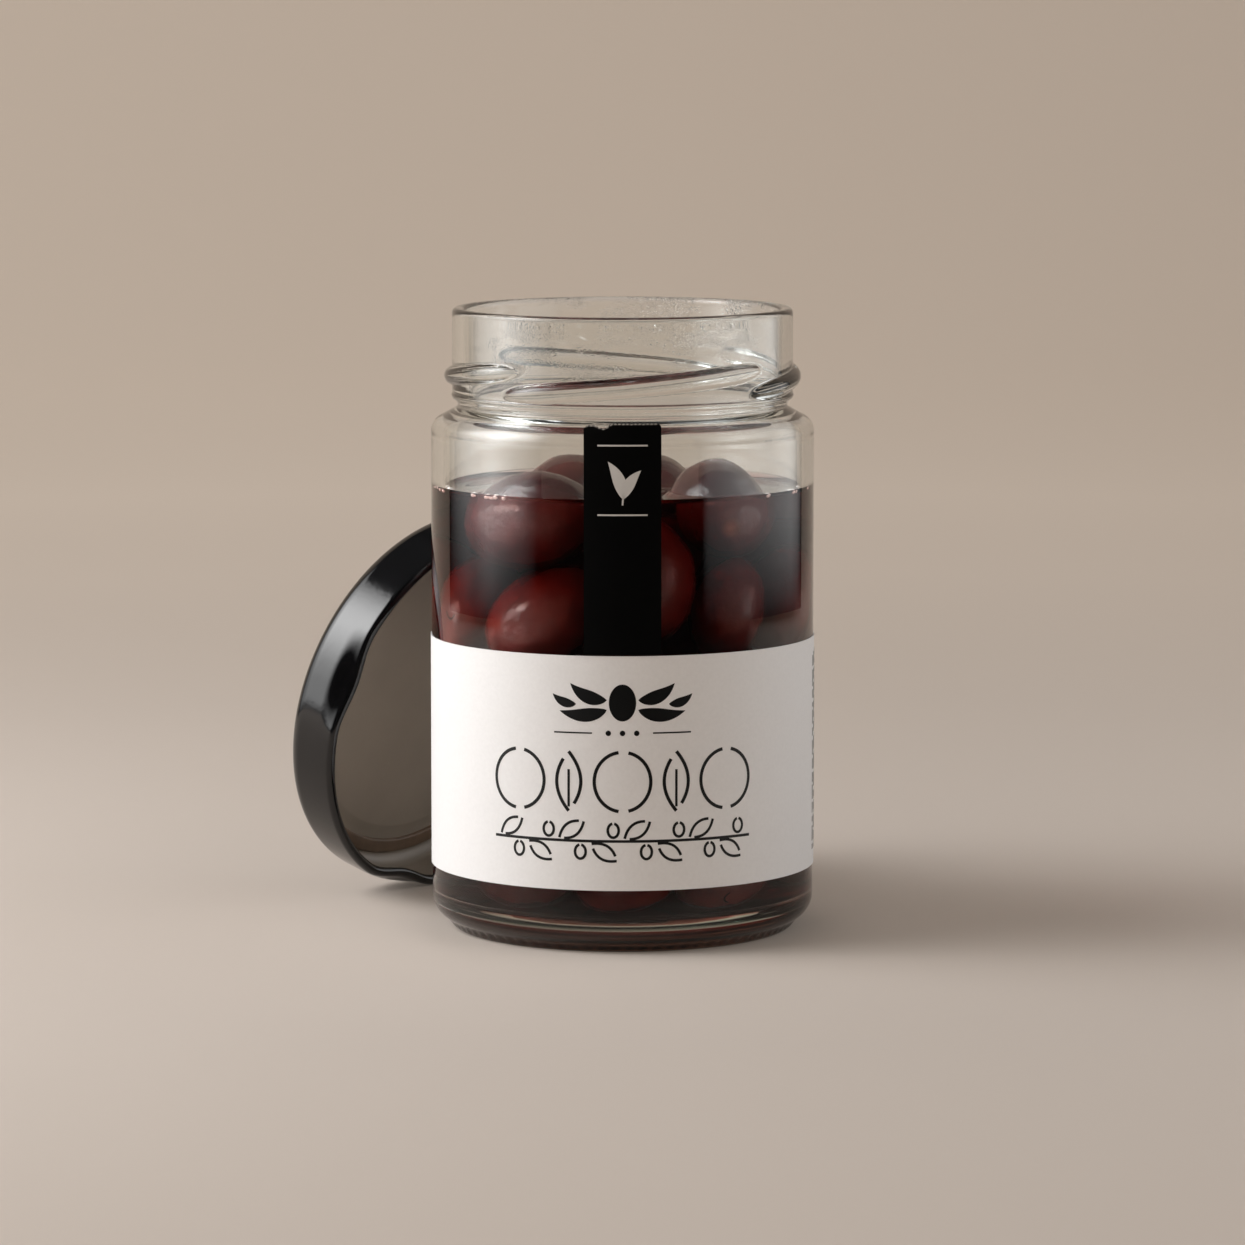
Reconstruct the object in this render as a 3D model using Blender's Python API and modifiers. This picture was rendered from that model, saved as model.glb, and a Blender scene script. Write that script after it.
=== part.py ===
# Open glass jar of dark olives with a paper label, a torn seal strip and its twist cap.
# The jar faces -Y. The cap stands on its open rim behind the jar's left side and leans on the glass.
# Metres, +Z up. The origin is the centre of the whole set's footprint box, on the floor.

import math

import bmesh
import bpy
import numpy as np
from mathutils import Matrix, Vector

MM = 0.001
SET_NAME = "olive_jar"
TOUCH_GAP = 0.3 * MM

# Glass jar
JAR_FACETS = 60
JAR_HEIGHT = 117.0 * MM
BODY_RADIUS = 36.0 * MM
BODY_INNER_RADIUS = 33.5 * MM
SHOULDER_EDGE_Z = 93.0 * MM
HEEL_RADIUS = 6.0 * MM
BEARING_RADIUS = 31.0 * MM
BEARING_WIDTH = 1.6 * MM
PUSH_UP = 3.0 * MM
FLOOR_Z = 5.6 * MM
RECESS_RADIUS = 30.95 * MM
RECESS_Z = 98.8 * MM
FINISH_RADIUS = 32.0 * MM
FINISH_FOOT_Z = 100.3 * MM
MOUTH_RADIUS = 29.6 * MM
NECK_INNER_RADIUS = 28.7 * MM
LIP_RADIUS = 1.0 * MM

# Thread lugs on the neck
LUG_COUNT = 4
LUG_CREST_RADIUS = 33.5 * MM
LUG_HALF_HEIGHT = 1.8 * MM
LUG_START_ANGLE = -42.5
LUG_SPAN_ANGLE = 95.0
LUG_START_Z = 102.2 * MM
LUG_RISE = 4.4 * MM
LUG_POINTS = 17
LUG_TAPER = 0.16

# Paper
PAPER_THICKNESS = 0.2 * MM
LABEL_LOW_Z = 12.1 * MM
LABEL_HIGH_Z = 55.5 * MM
LABEL_GAP_FACETS = 2
STRIP_WIDTH = 14.1 * MM
STRIP_HIGH_Z = 98.1 * MM
STRIP_COLUMNS = 10
STRIP_ROWS = 4
TEAR_DEPTH = 0.9 * MM

# Olives
OLIVE_SEED = 3
OLIVE_COUNT = 45
OLIVE_SIDES = 10
OLIVE_RINGS = 6
OLIVE_WIDTH = 17.0 * MM
OLIVE_SLENDERNESS = 1.42
SETTLE_ROUNDS = 500
SINK_STEP = 0.1 * MM
HOMING = 0.1
CORE_RADIUS = 24.0 * MM
CORE_HIGH_Z = 72.0 * MM
SHOWN_RADIUS = 16.0 * MM
SHOWN_Z = 64.0 * MM
BRINE_Z = 82.8 * MM

# Twist cap, with the pose in which it leans on the glass
CAP_FACETS = 48
CAP_RADIUS = 37.6 * MM
CAP_HEIGHT = 12.3 * MM
CAP_WALL = 0.7 * MM
CAP_CORNER_RADIUS = 3.5 * MM
CURL_RADIUS = 1.0 * MM
PANEL_RADIUS = 28.5 * MM
PANEL_DROP = 0.35 * MM
CAP_LUG_COUNT = 4
CAP_LUG_DEPTH = 1.9 * MM
CAP_LUG_HEIGHT = 4.5 * MM
CAP_LUG_HALF_ANGLE = 17.0
CAP_LUG_PHASE = 166.0
CAP_X = -30.07 * MM
CAP_Y = 35.71 * MM
CAP_AZIMUTH = -41.47
CAP_TILT = 15.3
SEAL_INNER_RADIUS = 31.6 * MM
SEAL_OUTER_RADIUS = 34.9 * MM
SEAL_THICKNESS = 0.6 * MM

# Olives that the photograph shows: angle from the front (degrees, + to the right), distance from
# the jar's axis, height, width, long direction as azimuth and elevation in degrees
SHOWN_OLIVES = {
    "front_left_floating": (-33.5, 24.6 * MM, 78.8 * MM, 17.8 * MM, (-30.0, 6.0)),
    "back_left_floating": (-75.0, 10.9 * MM, 79.7 * MM, 17.4 * MM, (60.0, 10.0)),
    "right_floating": (48.5, 24.0 * MM, 79.8 * MM, 17.8 * MM, (105.0, 10.0)),
    "middle_floating": (148.0, 11.0 * MM, 78.4 * MM, 17.4 * MM, (100.0, 5.0)),
    "left_below_brine": (-36.3, 24.4 * MM, 61.5 * MM, 17.4 * MM, (-20.0, 35.0)),
    "behind_strip": (7.0, 24.8 * MM, 67.6 * MM, 16.4 * MM, (0.0, 85.0)),
    "right_below_brine": (43.0, 26.0 * MM, 62.3 * MM, 14.2 * MM, (0.0, 80.0)),
    "far_left": (-86.0, 24.6 * MM, 66.0 * MM, 16.6 * MM, (80.0, 40.0)),
    "far_right": (78.0, 24.6 * MM, 62.0 * MM, 16.6 * MM, (90.0, 50.0)),
    "above_label_left": (-62.0, 24.8 * MM, 49.5 * MM, 16.4 * MM, (30.0, 20.0)),
    "bottom_left": (-41.0, 21.2 * MM, 15.0 * MM, 17.4 * MM, (40.0, 10.0)),
    "bottom_middle": (3.0, 25.0 * MM, 17.4 * MM, 16.4 * MM, (0.0, 58.0)),
    "bottom_right": (37.0, 25.2 * MM, 16.4 * MM, 15.6 * MM, (30.0, 42.0)),
}


def clear_scene():
    for old in list(bpy.data.objects):
        bpy.data.objects.remove(old, do_unlink=True)


def make_collection(name):
    collection = bpy.data.collections.new(name)
    bpy.context.scene.collection.children.link(collection)
    return collection


def make_material(name, color, roughness, transmission=0.0):
    material = bpy.data.materials.new(name)
    material.use_nodes = True
    shader = material.node_tree.nodes["Principled BSDF"]
    shader.inputs["Base Color"].default_value = (*color, 1.0)
    shader.inputs["Roughness"].default_value = roughness
    shader.inputs["Metallic"].default_value = 0.0
    shader.inputs["Transmission Weight"].default_value = transmission
    material.diffuse_color = (*color, 1.0)
    return material


def add_object(name, mesh, collection, material=None):
    piece = bpy.data.objects.new(name, mesh)
    collection.objects.link(piece)
    if material is not None:
        piece.data.materials.append(material)
    return piece


def evaluated_mesh(piece):
    """Mesh of the piece with its modifiers applied."""
    graph = bpy.context.evaluated_depsgraph_get()
    return bpy.data.meshes.new_from_object(piece.evaluated_get(graph), depsgraph=graph)


def apply_modifiers(piece):
    mesh = evaluated_mesh(piece)
    piece.modifiers.clear()
    piece.data = mesh


def drop_small_shells(mesh):
    """Keep the largest closed surface, which fills sealed hollows and drops loose scraps."""
    work = bmesh.new()
    work.from_mesh(mesh)
    unseen = set(work.verts)
    shells = []
    while unseen:
        shell = set()
        edge = [unseen.pop()]
        while edge:
            vertex = edge.pop()
            shell.add(vertex)
            near = {link.other_vert(vertex) for link in vertex.link_edges} & unseen
            unseen -= near
            edge.extend(near)
        shells.append(shell)
    largest = max(shells, key=len)
    spare = [vertex for vertex in work.verts if vertex not in largest]
    bmesh.ops.delete(work, geom=spare, context="VERTS")
    work.to_mesh(mesh)
    work.free()


def fuse(base, additions):
    """Join the additions to the base as one solid, and remove them."""
    union = base.modifiers.new("Union", "BOOLEAN")
    union.operation = "UNION"
    union.operand_type = "COLLECTION"
    union.collection = additions
    union.solver = "EXACT"
    apply_modifiers(base)
    for piece in list(additions.objects):
        bpy.data.objects.remove(piece, do_unlink=True)
    bpy.data.collections.remove(additions)
    drop_small_shells(base.data)


def arc(center_r, center_z, radius, start, end, steps):
    """Points (r, z) round a circle in the profile's plane, from start to end degrees."""
    angles = [math.radians(start + (end - start) * i / steps) for i in range(steps + 1)]
    return [(center_r + radius * math.cos(a), center_z + radius * math.sin(a)) for a in angles]


def turned(name, profile, facets, collection, material, closed=False):
    """Solid of revolution round Z; the profile runs down its outer side."""
    mesh = bpy.data.meshes.new(name)
    points = [(r, 0.0, z) for r, z in profile]
    edges = [(i, i + 1) for i in range(len(points) - 1)]
    if closed:
        edges.append((len(points) - 1, 0))
    mesh.from_pydata(points, edges, [])
    piece = add_object(name, mesh, collection, material)
    screw = piece.modifiers.new("Turn", "SCREW")
    screw.steps = facets
    screw.render_steps = facets
    screw.use_merge_vertices = True
    screw.merge_threshold = 0.01 * MM
    apply_modifiers(piece)
    return piece


def around(angle, radius, z):
    """Point at an angle in degrees from the jar's front, + towards its right."""
    a = math.radians(angle)
    return Vector((radius * math.sin(a), -radius * math.cos(a), z))


def on_facet(angle, radius):
    """Distance from the axis to the flat facet whose corners are at the radius."""
    step = 360.0 / JAR_FACETS
    middle = (math.floor(angle / step) + 0.5) * step
    flat = radius * math.cos(math.radians(step / 2))
    return flat / math.cos(math.radians(angle - middle))


def shade(piece, angle=35.0):
    piece.data.shade_smooth()
    piece.data.set_sharp_from_angle(angle=math.radians(angle))


def jar_profile():
    """Inside from the floor's centre up to the lip, then down the outside to the push-up."""
    inner_heel = HEEL_RADIUS - 1.5 * MM
    profile = [(0.0, FLOOR_Z + 0.4 * MM), (0.55 * BODY_INNER_RADIUS, FLOOR_Z + 0.2 * MM)]
    profile += arc(BODY_INNER_RADIUS - inner_heel, FLOOR_Z + inner_heel, inner_heel, -90, 0, 4)
    shoulder_drop = 4.3 * MM
    profile += arc(BODY_INNER_RADIUS - shoulder_drop, SHOULDER_EDGE_Z - 0.3 * MM, shoulder_drop, 0, 62, 4)
    profile += [
        (NECK_INNER_RADIUS + 0.3 * MM, RECESS_Z - 1.3 * MM),
        (NECK_INNER_RADIUS, RECESS_Z),
        (MOUTH_RADIUS - 0.3 * MM, FINISH_FOOT_Z + 2.2 * MM),
        (MOUTH_RADIUS, FINISH_FOOT_Z + 4.5 * MM),
    ]
    profile += arc(MOUTH_RADIUS + LIP_RADIUS, JAR_HEIGHT - LIP_RADIUS, LIP_RADIUS, 180, 90, 3)
    profile += arc(FINISH_RADIUS - LIP_RADIUS, JAR_HEIGHT - LIP_RADIUS, LIP_RADIUS, 90, 0, 3)
    profile += arc(FINISH_RADIUS - 0.6 * MM, FINISH_FOOT_Z + 0.3 * MM, 0.75 * MM, 40, -80, 3)
    profile += [(RECESS_RADIUS, RECESS_Z + 0.5 * MM), (RECESS_RADIUS + 0.05 * MM, RECESS_Z - 0.5 * MM)]
    shoulder_radius = 3.2 * MM
    shoulder_center = BODY_RADIUS - shoulder_radius
    profile += arc(shoulder_center, SHOULDER_EDGE_Z + 0.8 * MM, shoulder_radius, 72, 0, 4)
    heel_center_z = HEEL_RADIUS + 0.1 * MM
    profile += arc(BODY_RADIUS - HEEL_RADIUS + 1.2 * MM, heel_center_z, HEEL_RADIUS - 1.2 * MM, 0, -62, 4)
    profile += [
        (BEARING_RADIUS + BEARING_WIDTH / 2, 0.0),
        (BEARING_RADIUS - BEARING_WIDTH / 2, 0.0),
        (BEARING_RADIUS - 2.2 * MM, 0.5 * MM),
        (0.65 * BEARING_RADIUS, 0.75 * PUSH_UP),
        (0.0, PUSH_UP),
    ]
    return profile


def thread_lug(index, collection):
    """Rounded bead that climbs the neck and sinks into it at both ends."""
    lug = bpy.data.curves.new(f"thread_lug_{index}", "CURVE")
    lug.dimensions = "3D"
    lug.bevel_depth = LUG_HALF_HEIGHT
    lug.bevel_resolution = 2
    lug.use_fill_caps = True
    line = lug.splines.new("POLY")
    line.points.add(LUG_POINTS - 1)
    for i, point in enumerate(line.points):
        along = i / (LUG_POINTS - 1)
        fade = min(along, 1.0 - along) / LUG_TAPER
        size = math.sin(0.5 * math.pi * min(fade, 1.0)) ** 0.5
        section = LUG_HALF_HEIGHT * (0.3 + 0.7 * size)
        crest = FINISH_RADIUS - 0.25 * MM + (LUG_CREST_RADIUS - FINISH_RADIUS + 0.25 * MM) * size
        angle = index * 360.0 / LUG_COUNT + LUG_START_ANGLE + LUG_SPAN_ANGLE * along
        spot = around(angle, crest - section, LUG_START_Z + LUG_RISE * along)
        point.co = (*spot, 1.0)
        point.radius = section / LUG_HALF_HEIGHT
    tube = add_object(lug.name, lug, collection)
    mesh = evaluated_mesh(tube)
    bpy.data.objects.remove(tube, do_unlink=True)
    work = bmesh.new()
    work.from_mesh(mesh)
    bmesh.ops.remove_doubles(work, verts=work.verts, dist=0.001 * MM)
    bmesh.ops.recalc_face_normals(work, faces=work.faces)
    work.to_mesh(mesh)
    work.free()
    return add_object(f"thread_lug_{index}_solid", mesh, collection)


def make_jar(collection, material):
    jar = turned("glass_jar", jar_profile(), JAR_FACETS, collection, material)
    lugs = make_collection("thread_lugs")
    for index in range(LUG_COUNT):
        thread_lug(index, lugs)
    fuse(jar, lugs)
    shade(jar)
    return jar


def make_label(collection, material):
    """Paper band on the body, open at the back, cut to the jar's own facets."""
    radius = BODY_RADIUS + TOUCH_GAP
    facets = JAR_FACETS - LABEL_GAP_FACETS
    mesh = bpy.data.meshes.new("label")
    gap_angle = math.radians(180.0 * LABEL_GAP_FACETS / JAR_FACETS)
    edge_x = -radius * math.sin(gap_angle)
    edge_y = radius * math.cos(gap_angle)
    mesh.from_pydata([(edge_x, edge_y, LABEL_HIGH_Z), (edge_x, edge_y, LABEL_LOW_Z)], [(0, 1)], [])
    label = add_object("label", mesh, collection, material)
    wrap = label.modifiers.new("Wrap", "SCREW")
    wrap.angle = 2 * math.pi * facets / JAR_FACETS
    wrap.steps = facets
    wrap.render_steps = facets
    wrap.merge_threshold = 0.01 * MM
    paper = label.modifiers.new("Paper", "SOLIDIFY")
    paper.thickness = PAPER_THICKNESS
    paper.offset = 1.0
    apply_modifiers(label)
    shade(label)
    return label


def torn_top(across):
    """Height lost at the torn edge, for a place across the strip from -1 to 1."""
    left_corner = max(0.0, -across - 0.88) / 0.12
    left_step = 0.3 if across < -0.35 else 0.0
    dip = math.exp(-((across + 0.5) / 0.16) ** 2)
    right_corner = max(0.0, across - 0.9) / 0.1
    return TEAR_DEPTH * (0.7 * left_corner + left_step + 0.7 * dip + 0.8 * right_corner ** 2)


def make_seal_strip(collection, material):
    """Torn paper strip that stands straight up past the shoulder."""
    low_z = LABEL_HIGH_Z + TOUCH_GAP
    half_angle = math.degrees(STRIP_WIDTH / 2 / BODY_RADIUS)
    work = bmesh.new()
    bmesh.ops.create_grid(work, x_segments=STRIP_COLUMNS, y_segments=STRIP_ROWS, size=1.0)
    for vertex in work.verts:
        across, up = vertex.co.x, (vertex.co.y + 1.0) / 2
        high_z = STRIP_HIGH_Z - torn_top(across)
        angle = half_angle * across
        vertex.co = around(angle, on_facet(angle, BODY_RADIUS + TOUCH_GAP), low_z + (high_z - low_z) * up)
    bmesh.ops.recalc_face_normals(work, faces=work.faces)
    mesh = bpy.data.meshes.new("seal_strip")
    work.to_mesh(mesh)
    work.free()
    strip = add_object("seal_strip", mesh, collection, material)
    front = strip.data.polygons[0].normal.y < 0
    paper = strip.modifiers.new("Paper", "SOLIDIFY")
    paper.thickness = PAPER_THICKNESS
    paper.offset = 1.0 if front else -1.0
    apply_modifiers(strip)
    shade(strip)
    return strip


def direction(azimuth, elevation):
    a = math.radians(azimuth)
    e = math.radians(elevation)
    return np.array([math.cos(a) * math.cos(e), math.sin(a) * math.cos(e), math.sin(e)])


def inscribed_spheres(widths, lengths):
    """Five balls on each olive's long axis: their offsets and radii."""
    half_width = widths / 2
    half_length = lengths / 2
    spread = half_length ** 2 - half_width ** 2
    offsets = np.outer(spread / half_length, (-1.0, -0.5, 0.0, 0.5, 1.0))
    radii = half_width[:, None] * np.sqrt(1.0 - offsets ** 2 / spread[:, None])
    return offsets, radii


def settle_olives():
    """Places, long directions and widths of olives that have sunk until they touch.

    Each olive is an ellipsoid. Overlapping balls on the long axes push two olives apart and turn
    them, the glass pushes them in, and gravity packs them. The olives that show in the photograph
    are drawn back to their own places.
    """
    rng = np.random.default_rng(OLIVE_SEED)
    shown = list(SHOWN_OLIVES.values())
    loose = OLIVE_COUNT - len(shown)
    home = np.array([tuple(around(a, r, z)) for a, r, z, _, _ in shown])
    angle = rng.uniform(0.0, 2 * math.pi, loose)
    reach = 23.0 * MM * np.sqrt(rng.uniform(0.0, 1.0, loose))
    height = np.linspace(FLOOR_Z + 9.0 * MM, BRINE_Z - 9.0 * MM, loose)
    scattered = np.stack([reach * np.cos(angle), reach * np.sin(angle), height], axis=1)
    places = np.concatenate([home, scattered])
    turns = rng.normal(size=(loose, 3)) * (1.0, 1.0, 0.7)
    axes = np.concatenate([np.array([direction(*turn) for *_, turn in shown]), turns])
    axes /= np.linalg.norm(axes, axis=1)[:, None]
    home_axes = axes[:len(shown)].copy()
    widths = np.concatenate([np.array([w for _, _, _, w, _ in shown]), OLIVE_WIDTH * rng.uniform(0.9, 1.05, loose)])
    lengths = widths * OLIVE_SLENDERNESS * np.concatenate([np.ones(len(shown)), rng.uniform(0.94, 1.06, loose)])
    offsets, radii = inscribed_spheres(widths, lengths)
    balls = offsets.shape[1]
    owner = np.repeat(np.arange(OLIVE_COUNT), balls)
    ball_radii = radii.ravel()
    under_brine = owner >= len(shown)
    touch = ball_radii[:, None] + ball_radii[None, :]
    others = owner[:, None] != owner[None, :]
    wall = BODY_INNER_RADIUS * math.cos(math.pi / JAR_FACETS) - TOUCH_GAP
    low = FLOOR_Z + 0.4 * MM + TOUCH_GAP
    high = BRINE_Z - 1.0 * MM
    for step in range(SETTLE_ROUNDS):
        places[len(shown):, 2] -= SINK_STEP * max(0.0, 0.7 - step / SETTLE_ROUNDS)
        arms = offsets.ravel()[:, None] * axes[owner]
        centers = places[owner] + arms
        apart = centers[:, None, :] - centers[None, :, :]
        distance = np.linalg.norm(apart, axis=2) + 1e-9
        overlap = np.where(others, np.maximum(touch - distance, 0.0), 0.0)
        push = (apart / distance[:, :, None] * overlap[:, :, None]).sum(axis=1) * 0.5
        contacts = (overlap > 0.0).sum(axis=1)
        radial = np.hypot(centers[:, 0], centers[:, 1]) + 1e-9
        outside = np.maximum(radial + ball_radii - wall, 0.0)
        push[:, :2] -= centers[:, :2] * (outside / radial)[:, None]
        below = np.maximum(low + ball_radii - centers[:, 2], 0.0)
        above = np.maximum(centers[:, 2] + ball_radii - high, 0.0) * under_brine
        push[:, 2] += below - above
        contacts = contacts + (outside > 0.0) + (below > 0.0) + (above > 0.0)
        moves = np.zeros_like(places)
        torques = np.zeros_like(places)
        shares = np.zeros(OLIVE_COUNT)
        np.add.at(moves, owner, push)
        np.add.at(torques, owner, np.cross(arms, push))
        np.add.at(shares, owner, contacts)
        ease = 1.4 / np.maximum(shares, 1.0)[:, None]
        places += moves * ease
        axes += np.cross(torques, axes) / (0.15 * lengths[:, None] ** 2) * ease
        places[:len(shown)] += (home - places[:len(shown)]) * HOMING
        axes[:len(shown)] += (home_axes - axes[:len(shown)]) * HOMING
        axes /= np.linalg.norm(axes, axis=1)[:, None]
    return places, axes, widths, lengths


def keep_inside(point):
    """Pull a corner of an olive in until it is clear of the glass."""
    wall = BODY_INNER_RADIUS * math.cos(math.pi / JAR_FACETS) - TOUCH_GAP
    reach = math.hypot(point.x, point.y)
    if reach > wall:
        point.x *= wall / reach
        point.y *= wall / reach
    point.z = max(point.z, FLOOR_Z + 0.4 * MM + TOUCH_GAP)
    return point


def make_olives(collection, material):
    """Heap of olives that show, fused to a core inside it."""
    places, axes, widths, lengths = settle_olives()
    core_low = FLOOR_Z + 1.5 * MM
    core_profile = [
        (0.0, CORE_HIGH_Z),
        (CORE_RADIUS - 5 * MM, CORE_HIGH_Z),
        (CORE_RADIUS, CORE_HIGH_Z - 5 * MM),
        (CORE_RADIUS, core_low + 3 * MM),
        (CORE_RADIUS - 3 * MM, core_low),
        (0.0, core_low),
    ]
    core = turned("olives", core_profile, 24, collection, material)
    heap = make_collection("heap_olives")
    for index, place in enumerate(places):
        reach = math.hypot(place[0], place[1])
        if reach < SHOWN_RADIUS and place[2] < SHOWN_Z:
            continue
        work = bmesh.new()
        bmesh.ops.create_uvsphere(work, u_segments=OLIVE_SIDES, v_segments=OLIVE_RINGS, radius=0.5)
        turn = Vector(axes[index]).to_track_quat("Z", "Y").to_matrix().to_4x4()
        size = Matrix.Diagonal((widths[index], widths[index], lengths[index], 1.0))
        bmesh.ops.transform(work, matrix=Matrix.Translation(place) @ turn @ size, verts=work.verts)
        for vertex in work.verts:
            vertex.co = keep_inside(vertex.co)
        mesh = bpy.data.meshes.new(f"olive_{index:02d}")
        work.to_mesh(mesh)
        work.free()
        add_object(mesh.name, mesh, heap)
    fuse(core, heap)
    shade(core)
    return core


def cap_pose():
    """Matrix that stands the cap, made with its open rim at z = 0, against the jar."""
    a = math.radians(CAP_AZIMUTH)
    t = math.radians(CAP_TILT)
    mouth = Vector((math.cos(t) * math.cos(a), math.cos(t) * math.sin(a), -math.sin(t)))
    side = Vector((-math.sin(a), math.cos(a), 0.0))
    up = mouth.cross(side)
    if up.z < 0.0:
        up = -up
    lowest = (CAP_RADIUS - CURL_RADIUS) * up.z + CURL_RADIUS * mouth.z + CURL_RADIUS
    place = Vector((CAP_X, CAP_Y, lowest))
    turn = Matrix((side, up, -mouth)).transposed().to_4x4()
    return Matrix.Translation(place) @ turn


def stand_cap(cap, seal):
    """Lower the cap and its seal until the rim meets the floor."""
    bpy.context.view_layer.update()
    lowest = min((cap.matrix_world @ vertex.co).z for vertex in cap.data.vertices)
    drop = Matrix.Translation((0.0, 0.0, -lowest))
    for piece in (cap, seal):
        piece.matrix_world = drop @ piece.matrix_world


def cap_lug_push(angle):
    """Share of the lug's depth at an angle round the cap, in degrees."""
    spacing = 360.0 / CAP_LUG_COUNT
    off = (angle - CAP_LUG_PHASE + spacing / 2) % spacing - spacing / 2
    if abs(off) >= CAP_LUG_HALF_ANGLE:
        return 0.0
    return 0.5 + 0.5 * math.cos(math.pi * off / CAP_LUG_HALF_ANGLE)


def cap_profile():
    """Closed section of the cap's sheet: over the panel, down the skirt, round the curl and back."""
    top = CAP_HEIGHT
    corner_r = CAP_RADIUS - CAP_CORNER_RADIUS
    corner_z = CAP_HEIGHT - CAP_CORNER_RADIUS
    inner_skirt = CAP_RADIUS - CAP_WALL
    profile = [(0.0, top - PANEL_DROP), (PANEL_RADIUS, top - PANEL_DROP), (PANEL_RADIUS + 1.5 * MM, top)]
    profile += arc(corner_r, corner_z, CAP_CORNER_RADIUS, 90, 0, 4)
    profile.append((CAP_RADIUS, 4.5 * MM))
    profile += arc(CAP_RADIUS - CURL_RADIUS, CURL_RADIUS, CURL_RADIUS, 0, -240, 6)
    profile += [(inner_skirt, 2.7 * MM), (inner_skirt, 4.5 * MM)]
    profile += arc(corner_r, corner_z, CAP_CORNER_RADIUS - CAP_WALL, 0, 90, 4)
    profile += [(PANEL_RADIUS + 1.6 * MM, top - CAP_WALL), (PANEL_RADIUS, top - PANEL_DROP - CAP_WALL)]
    profile.append((0.0, top - PANEL_DROP - CAP_WALL))
    return profile


def make_cap(collection, material):
    cap = turned("cap", cap_profile(), CAP_FACETS, collection, material)
    for vertex in cap.data.vertices:
        co = vertex.co
        lift = max(0.0, 1.0 - co.z / CAP_LUG_HEIGHT)
        if lift > 0.0:
            angle = math.degrees(math.atan2(co.y, co.x))
            reach = math.hypot(co.x, co.y)
            share = 1.0 - CAP_LUG_DEPTH * cap_lug_push(angle) * lift / reach
            co.x *= share
            co.y *= share
    cap.matrix_world = cap_pose()
    shade(cap)
    return cap


def make_cap_seal(collection, material):
    """Ring of sealing compound under the panel's edge."""
    high = CAP_HEIGHT - CAP_WALL - TOUCH_GAP
    low = high - SEAL_THICKNESS
    profile = [
        (SEAL_INNER_RADIUS + 0.3 * MM, high),
        (SEAL_OUTER_RADIUS - 0.3 * MM, high - 0.05 * MM),
        (SEAL_OUTER_RADIUS, low + 0.1 * MM),
        (SEAL_OUTER_RADIUS - 0.5 * MM, low - 0.1 * MM),
        (SEAL_INNER_RADIUS + 0.5 * MM, low),
        (SEAL_INNER_RADIUS, high - 0.3 * MM),
    ]
    seal = turned("cap_seal", profile, CAP_FACETS, collection, material, closed=True)
    seal.matrix_world = cap_pose()
    shade(seal)
    return seal


def center_on_floor(pieces, collection):
    """Parent the set to an empty that brings its footprint's centre to the origin."""
    bpy.context.view_layer.update()
    corners = []
    for piece in pieces:
        corners += [piece.matrix_world @ vertex.co for vertex in piece.data.vertices]
    middle_x = (min(c.x for c in corners) + max(c.x for c in corners)) / 2
    middle_y = (min(c.y for c in corners) + max(c.y for c in corners)) / 2
    low_z = min(c.z for c in corners)
    holder = bpy.data.objects.new("set_origin", None)
    collection.objects.link(holder)
    for piece in pieces:
        piece.parent = holder
    holder.location = (-middle_x, -middle_y, -low_z)
    bpy.context.view_layer.update()


def main():
    clear_scene()
    parts = make_collection(SET_NAME)
    glass = make_material("glass", (0.86, 0.88, 0.86), 0.03, transmission=1.0)
    skin = make_material("olive_skin", (0.16, 0.045, 0.035), 0.3)
    white_paper = make_material("white_paper", (0.86, 0.86, 0.85), 0.6)
    black_paper = make_material("black_paper", (0.012, 0.012, 0.012), 0.5)
    lacquer = make_material("black_lacquer", (0.015, 0.015, 0.018), 0.3)
    compound = make_material("sealing_compound", (0.2, 0.14, 0.1), 0.5)
    cap = make_cap(parts, lacquer)
    seal = make_cap_seal(parts, compound)
    stand_cap(cap, seal)
    pieces = [
        make_jar(parts, glass),
        make_olives(parts, skin),
        make_label(parts, white_paper),
        make_seal_strip(parts, black_paper),
        cap,
        seal,
    ]
    center_on_floor(pieces, parts)


main()
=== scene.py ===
# Looks of an open jar of dark olives in brine, with its label, torn seal strip and leaning twist cap.

import math

import bpy
import numpy as np
from bpy.props import FloatProperty, FloatVectorProperty, IntProperty, PointerProperty
from mathutils import Matrix, Vector


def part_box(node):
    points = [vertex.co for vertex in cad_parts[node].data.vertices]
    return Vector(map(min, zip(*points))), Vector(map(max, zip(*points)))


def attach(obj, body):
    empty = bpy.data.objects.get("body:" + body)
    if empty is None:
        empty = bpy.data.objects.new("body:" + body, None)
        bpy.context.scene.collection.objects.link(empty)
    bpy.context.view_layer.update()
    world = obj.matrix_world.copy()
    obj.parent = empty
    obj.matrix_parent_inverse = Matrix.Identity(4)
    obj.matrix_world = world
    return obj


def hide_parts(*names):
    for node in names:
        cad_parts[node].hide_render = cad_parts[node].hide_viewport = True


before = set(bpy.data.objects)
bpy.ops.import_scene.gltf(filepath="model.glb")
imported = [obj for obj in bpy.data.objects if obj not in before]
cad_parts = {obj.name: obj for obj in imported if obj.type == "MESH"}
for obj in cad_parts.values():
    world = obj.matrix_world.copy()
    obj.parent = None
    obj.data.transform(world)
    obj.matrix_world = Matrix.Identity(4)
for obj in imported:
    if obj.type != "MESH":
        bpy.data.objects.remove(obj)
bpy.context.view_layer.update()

bl_info = {
    "name": "Olive Jar",
    "version": (1, 0, 0),
    "blender": (4, 5, 0),
    "location": "View3D > Sidebar > Olive Jar",
    "description": "Builds an open jar of dark olives in brine, with its label, seal strip and cap",
    "category": "Object",
}

MM = 0.001

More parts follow.
